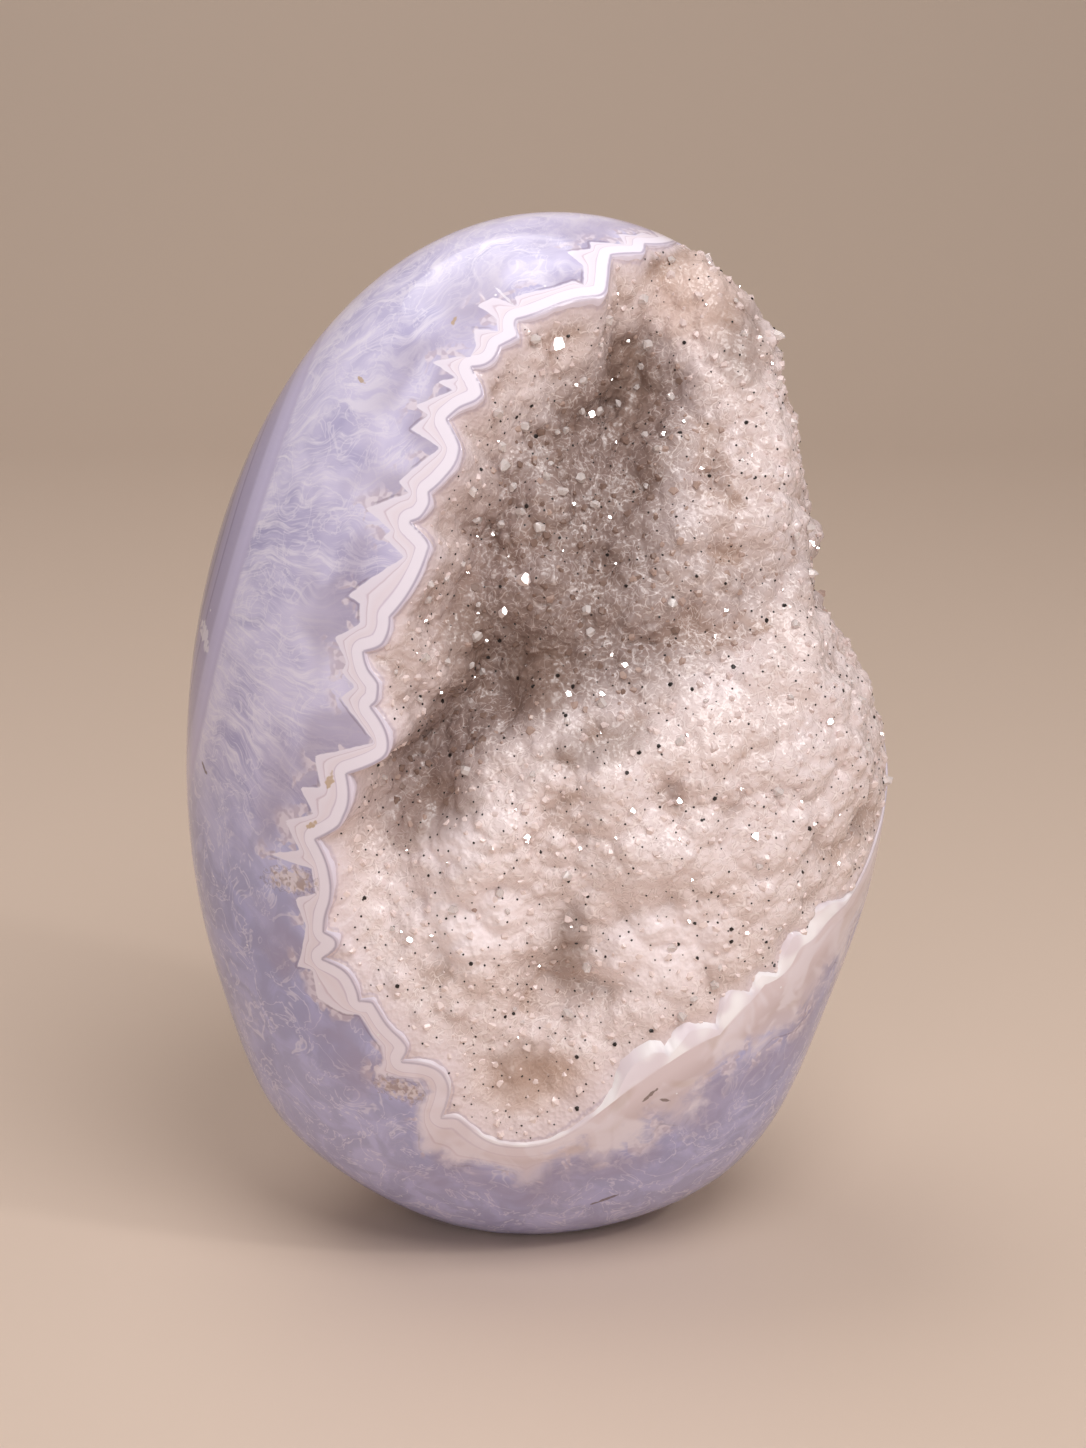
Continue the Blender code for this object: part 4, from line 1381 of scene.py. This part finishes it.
def crystal_form(name, low, shoulder, tip, skew, draw):
    """One quartz crystal of unit width: a six-sided prism under an uneven six-sided point."""
    points = []
    for z, width, uneven in ((low, 1.0, 0.0), (shoulder, SHOULDER_WIDTH, 0.16)):
        for i in range(SIDES):
            turn = 2.0 * np.pi * i / SIDES
            lift = z + (uneven * draw.uniform(-1, 1) if uneven else 0.0)
            radius = 0.5 * width * (1.0 + 0.12 * draw.uniform(-1, 1))
            points.append((radius * np.cos(turn), radius * np.sin(turn), lift))
    points.append((skew * draw.uniform(-1, 1), skew * draw.uniform(-1, 1), tip))
    faces = []
    for i in range(SIDES):
        k = (i + 1) % SIDES
        faces.append((i, k, SIDES + k, SIDES + i))
        faces.append((SIDES + i, SIDES + k, 2 * SIDES))
    faces.append(tuple(range(SIDES - 1, -1, -1)))
    mesh = bpy.data.meshes.new(name)
    mesh.from_pydata(points, [], faces)
    mesh.shade_flat()
    return in_scene(name, mesh)


def random_value(tree, kind, low, high, seed):
    """A random vector, number or whole number for each point, between two."""
    k = ("FLOAT_VECTOR", "FLOAT", "INT").index(kind)
    inputs = {2 * k: low, 2 * k + 1: high, "Seed": seed}
    return node(tree, "FunctionNodeRandomValue", inputs, data_type=kind).outputs[k]


def scatter_tree(name, forms, material):
    """Geometry Nodes that grow copies of forms over a surface, with named sizes."""
    tree = bpy.data.node_groups.new(name, "GeometryNodeTree")
    made = tree.interface.new_socket
    made("Geometry", in_out="INPUT", socket_type="NodeSocketGeometry")
    made("Geometry", in_out="OUTPUT", socket_type="NodeSocketGeometry")
    for label in ("Spacing", "Crowding", "Smallest", "Largest", "Lean", "Sunk"):
        made(label, in_out="INPUT", socket_type="NodeSocketFloat")
    made("Seed", in_out="INPUT", socket_type="NodeSocketInt")
    given = tree.nodes.new("NodeGroupInput").outputs
    end = tree.nodes.new("NodeGroupOutput")

    room = node(tree, "GeometryNodeInputNamedAttribute", {"Name": "grow"}, data_type="FLOAT")
    inputs = {
        "Mesh": given["Geometry"], "Distance Min": given["Spacing"],
        "Density Max": given["Crowding"], "Density Factor": room.outputs["Attribute"],
        "Seed": given["Seed"],
    }
    spots = node(tree, "GeometryNodeDistributePointsOnFaces", inputs, distribute_method="POISSON")
    inputs = {"X": given["Lean"], "Y": given["Lean"], "Z": float(np.pi)}
    lean = node(tree, "ShaderNodeCombineXYZ", inputs).outputs[0]
    back = vectors(tree, "SCALE", {0: lean, "Scale": -1.0})
    turned = random_value(tree, "FLOAT_VECTOR", back, lean, given["Seed"])
    to_turn = node(tree, "FunctionNodeEulerToRotation", {0: turned}).outputs[0]
    inputs = {"Rotation": spots.outputs["Rotation"], "Rotate By": to_turn}
    rotated = node(tree, "FunctionNodeRotateRotation", inputs, rotation_space="LOCAL")
    size_seed = maths(tree, "ADD", given["Seed"], SIZE_DRAW)
    size = random_value(tree, "FLOAT", given["Smallest"], given["Largest"], size_seed)
    form_seed = maths(tree, "ADD", given["Seed"], FORM_DRAW)
    which = random_value(tree, "INT", 0, len(forms) - 1, form_seed)

    gather = node(tree, "GeometryNodeJoinGeometry")
    for form in forms:
        info = node(tree, "GeometryNodeObjectInfo", {"Object": form, "As Instance": True})
        tree.links.new(info.outputs["Geometry"], gather.inputs[0])
    inputs = {
        "Points": spots.outputs["Points"], "Instance": gather.outputs[0], "Pick Instance": True,
        "Instance Index": which, "Rotation": rotated.outputs[0], "Scale": size,
    }
    grown = node(tree, "GeometryNodeInstanceOnPoints", inputs)
    down = node(tree, "ShaderNodeCombineXYZ", {"Z": maths(tree, "MULTIPLY", given["Sunk"], -1.0)})
    inputs = {
        "Instances": grown.outputs[0], "Translation": down.outputs[0], "Local Space": True,
    }
    lowered = node(tree, "GeometryNodeTranslateInstances", inputs)
    real = node(tree, "GeometryNodeRealizeInstances", {"Geometry": lowered.outputs[0]})
    inputs = {"Geometry": real.outputs[0], "Material": material}
    finish = node(tree, "GeometryNodeSetMaterial", inputs)
    tree.links.new(finish.outputs[0], end.inputs[0])
    return tree


def grow_piece(name, surface, grow, forms, material, sizes, seed):
    """A plain mesh of forms grown over a surface where the values of grow allow it."""
    base = surface.copy()
    base.data = surface.data.copy()
    store(base.data, "grow", grow)
    bpy.context.scene.collection.objects.link(base)
    tree = scatter_tree(name, forms, material)
    modifier = base.modifiers.new("Grow", "NODES")
    modifier.node_group = tree
    values = dict(sizes, Seed=seed)
    for item in tree.interface.items_tree:
        if item.in_out == "INPUT" and item.name in values:
            modifier[item.identifier] = values[item.name]
    base.update_tag()
    graph = bpy.context.evaluated_depsgraph_get()
    mesh = bpy.data.meshes.new_from_object(base.evaluated_get(graph))
    bpy.data.objects.remove(base)
    for spare in ("grow", *FIELDS):
        if spare in mesh.attributes:
            mesh.attributes.remove(mesh.attributes[spare])
    mesh.materials.clear()
    mesh.materials.append(material)
    mesh.polygons.foreach_set("material_index", np.zeros(len(mesh.polygons), dtype=np.int32))
    mesh.name = name
    finish_piece(in_scene(name, mesh), "drusy_quartz")


def make_forms(shapes, draw):
    """Crystals of a few shapes, from the heights of their foot, shoulder and tip."""
    return [crystal_form("form_%d" % i, *shape, draw) for i, shape in enumerate(shapes)]


def clear_forms(forms):
    """Removes the forms that copies were grown from."""
    for form in forms:
        bpy.data.objects.remove(form)


def high_and_left(piece):
    """How high and how far left the points of a piece lie, 0 to 1."""
    at = np.array([v.co for v in piece.data.vertices])
    high = eased(HIGH_TILT * at[:, 0] + at[:, 2], HIGH_RUN[0] * MM, HIGH_RUN[1] * MM)
    left = eased(at[:, 2] - 2.0 * at[:, 0], *LEFT_RUN)
    return high, left


def grow_crystals(settings):
    """Small milky crystals on the bed, in tints that paint light and shade over the lumps and
    valleys.
    """
    bed = bpy.data.objects["druse_bed"]
    forms = make_forms(SMALL_FORMS, random.Random(SMALL_FORM_SEED))
    room, valley, crease = (stored(bed, name) for name in ("room", "valley", "crease"))
    # Painted shade of the valleys and creases, and painted light where it is slight, pick the tints
    painted_shade = np.clip(0.8 * valley + 0.35 * crease, 0.0, 1.0)
    light = eased(-painted_shade, -0.40, -0.10)
    half_painted_shade = 1.0 - eased(abs(painted_shade - 0.5), 0.12, 0.3)
    high, _ = high_and_left(bed)
    # Pale tints where light is painted, whiter low down and rosier high, brown where shade is
    # painted
    kinds = (
        ("crystals_white", linear(238, 220, 217), 0.16, light * (1.0 - high)),
        ("crystals_rosy", linear(222, 203, 200), 0.20, light * high),
        ("crystals_sandy", linear(180, 155, 145), 0.24, half_painted_shade),
        ("crystals_smoky", linear(134, 110, 100), 0.18, eased(painted_shade, 0.5, 0.8)),
    )
    width = settings.crystal_size
    sizes = {
        "Spacing": 1.5 * width, "Crowding": 0.40 / width**2, "Smallest": 0.35 * width,
        "Largest": 1.2 * width, "Lean": 0.6, "Sunk": 0.1 * MM,
    }
    for i, (name, colour, roughness, where) in enumerate(kinds):
        material = plain_material(name.replace("_", " "), colour, roughness, IOR=QUARTZ_IOR)
        grow_piece(name, bed, room * where, forms, material, sizes, SMALL_SEED + i)
    clear_forms(forms)


def grow_clear_crystals():
    """Larger clear quartz points that stand out of the druse, most on its upper left."""
    bed = bpy.data.objects["druse_bed"]
    material = plain_material("clear quartz", linear(252, 242, 240), 0.04, IOR=QUARTZ_IOR,
                              Transmission_Weight=0.4)
    forms = make_forms(CLEAR_FORMS, random.Random(CLEAR_FORM_SEED))
    _, left = high_and_left(bed)
    where = stored(bed, "room") * (0.25 + 0.75 * left)
    sizes = {
        "Spacing": 3.2 * MM, "Crowding": 0.014 / MM**2, "Smallest": 0.9 * MM,
        "Largest": 2.2 * MM, "Lean": 0.7, "Sunk": 0.0,
    }
    grow_piece("crystals_clear", bed, where, forms, material, sizes, CLEAR_SEED)
    clear_forms(forms)


def flash_plate(middle, face, width, draw):
    """The points of a six-sided plate that faces a direction, a little wider behind."""
    side = face.orthogonal().normalized()
    across = face.cross(side)
    points = []
    for low, size in ((0.0, 0.5), (-1.0, 0.62)):
        for j in range(SIDES):
            angle = np.pi * j / 3.0 + 0.3 * draw.uniform(-1, 1)
            reach = size * width * MM * (1.0 + 0.3 * draw.uniform(-1, 1))
            way = side * np.cos(angle) + across * np.sin(angle)
            points.append(middle + way * reach + face * low * width * MM)
    return points


def plate_faces(first):
    """The faces of a six-sided plate, given the index of its first point."""
    front = tuple(first + j for j in range(SIDES))
    back = tuple(first + 2 * SIDES - 1 - j for j in range(SIDES))
    faces = [front, back]
    for j in range(SIDES):
        k = (j + 1) % SIDES
        faces.append((first + j, first + SIDES + j, first + SIDES + k, first + k))
    return faces


def make_flashes():
    """Flat crystal faces that stand square between the viewer and the small light."""
    vertices = bpy.data.objects["druse_bed"].data.vertices
    tree = point_tree([v.co for v in vertices])
    draw = np.random.default_rng(FLASH_SEED)
    off, turn = even_spots(FLASH_SPACING, draw, 0.4)
    some = draw.permutation(len(off))[:SMALL_FLASHES]
    spots = [(off[i], turn[i], draw.uniform(*SMALL_FLASH_WIDTH)) for i in some]
    eye = Vector(CAMERA_AIM) + Vector(direction(0.0, CAMERA_ELEVATION)) * CAMERA_DISTANCE
    points, faces = [], []
    for off, turn, width in (*FLASHES, *spots):
        u = hollow_direction(np.array([off]), np.array([turn]))
        foot, index, _ = tree.find(smooth_bed(u)[0])
        face = ((eye - foot).normalized() + (Vector(SPARK) - foot).normalized()).normalized()
        middle = foot + vertices[index].normal * (0.35 + 0.15 * width) * MM
        faces += plate_faces(len(points))
        points += flash_plate(middle, face, width, draw)
    mesh = bpy.data.meshes.new("crystals_flashing")
    mesh.from_pydata(points, [], faces)
    mesh.shade_flat()
    material = plain_material("flashing quartz", linear(236, 222, 220), 0.05, IOR=QUARTZ_IOR)
    mesh.materials.append(material)
    finish_piece(in_scene("crystals_flashing", mesh), "drusy_quartz")


def grow_specks():
    """Tiny black mineral grains strewn over the quartz."""
    bed = bpy.data.objects["druse_bed"]
    material = plain_material("black grains", linear(26, 18, 16), 0.35)
    forms = make_forms(GRAIN_FORMS, random.Random(GRAIN_FORM_SEED))
    for i, (small, large, crowding) in enumerate(GRAINS):
        sizes = {
            "Spacing": 1.5 * MM, "Crowding": crowding / MM**2, "Smallest": small * MM,
            "Largest": large * MM, "Lean": 0.5, "Sunk": -0.12 * MM,
        }
        name = "grains_%d" % (i + 1)
        grow_piece(name, bed, stored(bed, "room"), forms, material, sizes, GRAIN_SEED + i)
    clear_forms(forms)


# The stage


def make_floor():
    """A pale floor that sweeps up behind the stone."""
    start = FLOOR_BACK - FLOOR_BEND
    profile = [(-FLOOR_SIZE, 0.0), (start, 0.0)]
    for turn in np.linspace(0.0, 0.5 * np.pi, BEND_STEPS)[1:]:
        y = start + FLOOR_BEND * np.sin(turn)
        profile.append((y, FLOOR_BEND - FLOOR_BEND * np.cos(turn)))
    profile.append((FLOOR_BACK, FLOOR_RISE + FLOOR_BEND))
    points = [(side * FLOOR_SIZE, y, z) for y, z in profile for side in (-1, 1)]
    faces = [(2 * i, 2 * i + 1, 2 * i + 3, 2 * i + 2) for i in range(len(profile) - 1)]
    mesh = bpy.data.meshes.new("floor")
    mesh.from_pydata(points, [], faces)
    mesh.shade_smooth()
    mesh.materials.append(plain_material("pale floor", linear(218, 198, 182), 0.42))
    floor = in_scene("floor", mesh)


def make_camera():
    """The photograph's camera."""
    data = bpy.data.cameras.new("camera")
    data.lens = CAMERA_LENS
    data.sensor_width = CAMERA_SENSOR
    camera = in_scene("camera", data)
    way = Vector(direction(0.0, CAMERA_ELEVATION))
    camera.location = Vector(CAMERA_AIM) + way * CAMERA_DISTANCE
    camera.rotation_euler = (-way).to_track_quat("-Z", "Y").to_euler()
    bpy.context.scene.camera = camera


def make_stage(settings):
    """The floor, soft lights all round and the camera."""
    make_floor()
    for name, location, width, colour in LAMPS:
        soft_light(name, location, width, getattr(settings, name + "_power"), colour)
    world = bpy.data.worlds.new("studio")
    world.use_nodes = True
    background = world.node_tree.nodes["Background"]
    background.inputs[0].default_value = ROOM_COLOUR
    background.inputs[1].default_value = settings.room_light
    scene = bpy.context.scene
    scene.world = world
    make_camera()
    scene.view_settings.view_transform = "Standard"


def soft_light(name, location, width, power, colour):
    """A round lamp turned to the middle of the stone."""
    data = bpy.data.lights.new(name, "AREA")
    data.shape = "DISK"
    data.size = width
    data.energy = power
    data.color = colour
    lamp = in_scene(name, data)
    lamp.location = location
    lamp.rotation_euler = (Vector(MIDDLE) - Vector(location)).to_track_quat("-Z", "Y").to_euler()


# The add-on


class StoneSettings(bpy.types.PropertyGroup):
    """Colours of the polished stone"""

    body_deep: FloatVectorProperty(
        name="Deep lavender", description="Darker parts of the cloudy body", subtype="COLOR",
        size=3, default=linear(182, 176, 214)[:3], min=0.0, max=1.0)
    body_pale: FloatVectorProperty(
        name="Pale lavender", description="Lighter parts of the cloudy body", subtype="COLOR",
        size=3, default=linear(230, 223, 250)[:3], min=0.0, max=1.0)
    milk: FloatVectorProperty(
        name="Milk", description="Milky fibres and veins", subtype="COLOR",
        size=3, default=linear(242, 236, 252)[:3], min=0.0, max=1.0)


class DruseSettings(bpy.types.PropertyGroup):
    """Size of the druse's crystals"""

    crystal_size: FloatProperty(
        name="Crystal size", description="Usual width of a crystal", subtype="DISTANCE",
        unit="LENGTH", default=1.6 * MM, min=0.5 * MM, max=4.0 * MM)


class StageSettings(bpy.types.PropertyGroup):
    """Light on the stage"""

    key_power: FloatProperty(
        name="Key light", description="Power of the soft key light", unit="POWER", default=7.2)
    top_power: FloatProperty(
        name="Top light", description="Power of the light from above", unit="POWER", default=4.4)
    front_power: FloatProperty(
        name="Front light", description="Power of the broad front light", unit="POWER",
        default=2.8)
    spark_power: FloatProperty(
        name="Spark light", description="Power of the small light that makes facets flash",
        unit="POWER", default=1.2)
    room_light: FloatProperty(
        name="Room light", description="Strength of the even light all round", default=0.22)


class AGATE_OT_stone(bpy.types.Operator):
    """Builds the polished stone with its lace, rind and lip"""

    bl_idname = "agate.stone"
    bl_label = "Polished stone"

    def execute(self, context):
        make_stone(context.scene.agate_stone)
        return {"FINISHED"}


class AGATE_OT_bed(bpy.types.Operator):
    """Builds the lumpy bed of the druse"""

    bl_idname = "agate.bed"
    bl_label = "Crystal bed"

    def execute(self, context):
        make_bed()
        return {"FINISHED"}


class AGATE_OT_crystals(bpy.types.Operator):
    """Grows the quartz crystals over the bed"""

    bl_idname = "agate.crystals"
    bl_label = "Crystals"

    def execute(self, context):
        grow_crystals(context.scene.agate_druse)
        return {"FINISHED"}


class AGATE_OT_clear(bpy.types.Operator):
    """Grows the larger clear quartz points"""

    bl_idname = "agate.clear"
    bl_label = "Clear points"

    def execute(self, context):
        grow_clear_crystals()
        return {"FINISHED"}


class AGATE_OT_flashes(bpy.types.Operator):
    """Sets the crystal faces that flash in the small light"""

    bl_idname = "agate.flashes"
    bl_label = "Flashing faces"

    def execute(self, context):
        make_flashes()
        return {"FINISHED"}


class AGATE_OT_grains(bpy.types.Operator):
    """Strews the black grains over the quartz"""

    bl_idname = "agate.grains"
    bl_label = "Black grains"

    def execute(self, context):
        grow_specks()
        return {"FINISHED"}


class AGATE_OT_stage(bpy.types.Operator):
    """Sets the floor, the lights and the camera"""

    bl_idname = "agate.stage"
    bl_label = "Stage"

    def execute(self, context):
        make_stage(context.scene.agate_stage)
        return {"FINISHED"}


class AGATE_PT_panel(bpy.types.Panel):
    """The steps that build the stone, in order"""

    bl_idname = "AGATE_PT_panel"
    bl_label = "Lace agate"
    bl_space_type = "VIEW_3D"
    bl_region_type = "UI"
    bl_category = "Agate"

    def draw(self, context):
        for step in STEPS:
            self.layout.operator(step.bl_idname)
        for group in ("agate_stone", "agate_druse", "agate_stage"):
            settings = getattr(context.scene, group)
            for name in settings.__annotations__:
                self.layout.prop(settings, name)


STEPS = (
    AGATE_OT_stage, AGATE_OT_stone, AGATE_OT_bed, AGATE_OT_crystals, AGATE_OT_clear,
    AGATE_OT_flashes, AGATE_OT_grains,
)
CLASSES = (StoneSettings, DruseSettings, StageSettings, *STEPS, AGATE_PT_panel)


def register():
    for made in CLASSES:
        bpy.utils.register_class(made)
    bpy.types.Scene.agate_stone = PointerProperty(type=StoneSettings)
    bpy.types.Scene.agate_druse = PointerProperty(type=DruseSettings)
    bpy.types.Scene.agate_stage = PointerProperty(type=StageSettings)


def unregister():
    del bpy.types.Scene.agate_stage
    del bpy.types.Scene.agate_druse
    del bpy.types.Scene.agate_stone
    for made in reversed(CLASSES):
        bpy.utils.unregister_class(made)


def main():
    """Builds the whole scene."""
    register()
    bpy.ops.agate.stage()
    bpy.ops.agate.stone()
    bpy.ops.agate.bed()
    bpy.ops.agate.crystals()
    bpy.ops.agate.clear()
    bpy.ops.agate.flashes()
    bpy.ops.agate.grains()


if __name__ == "__main__":
    main()
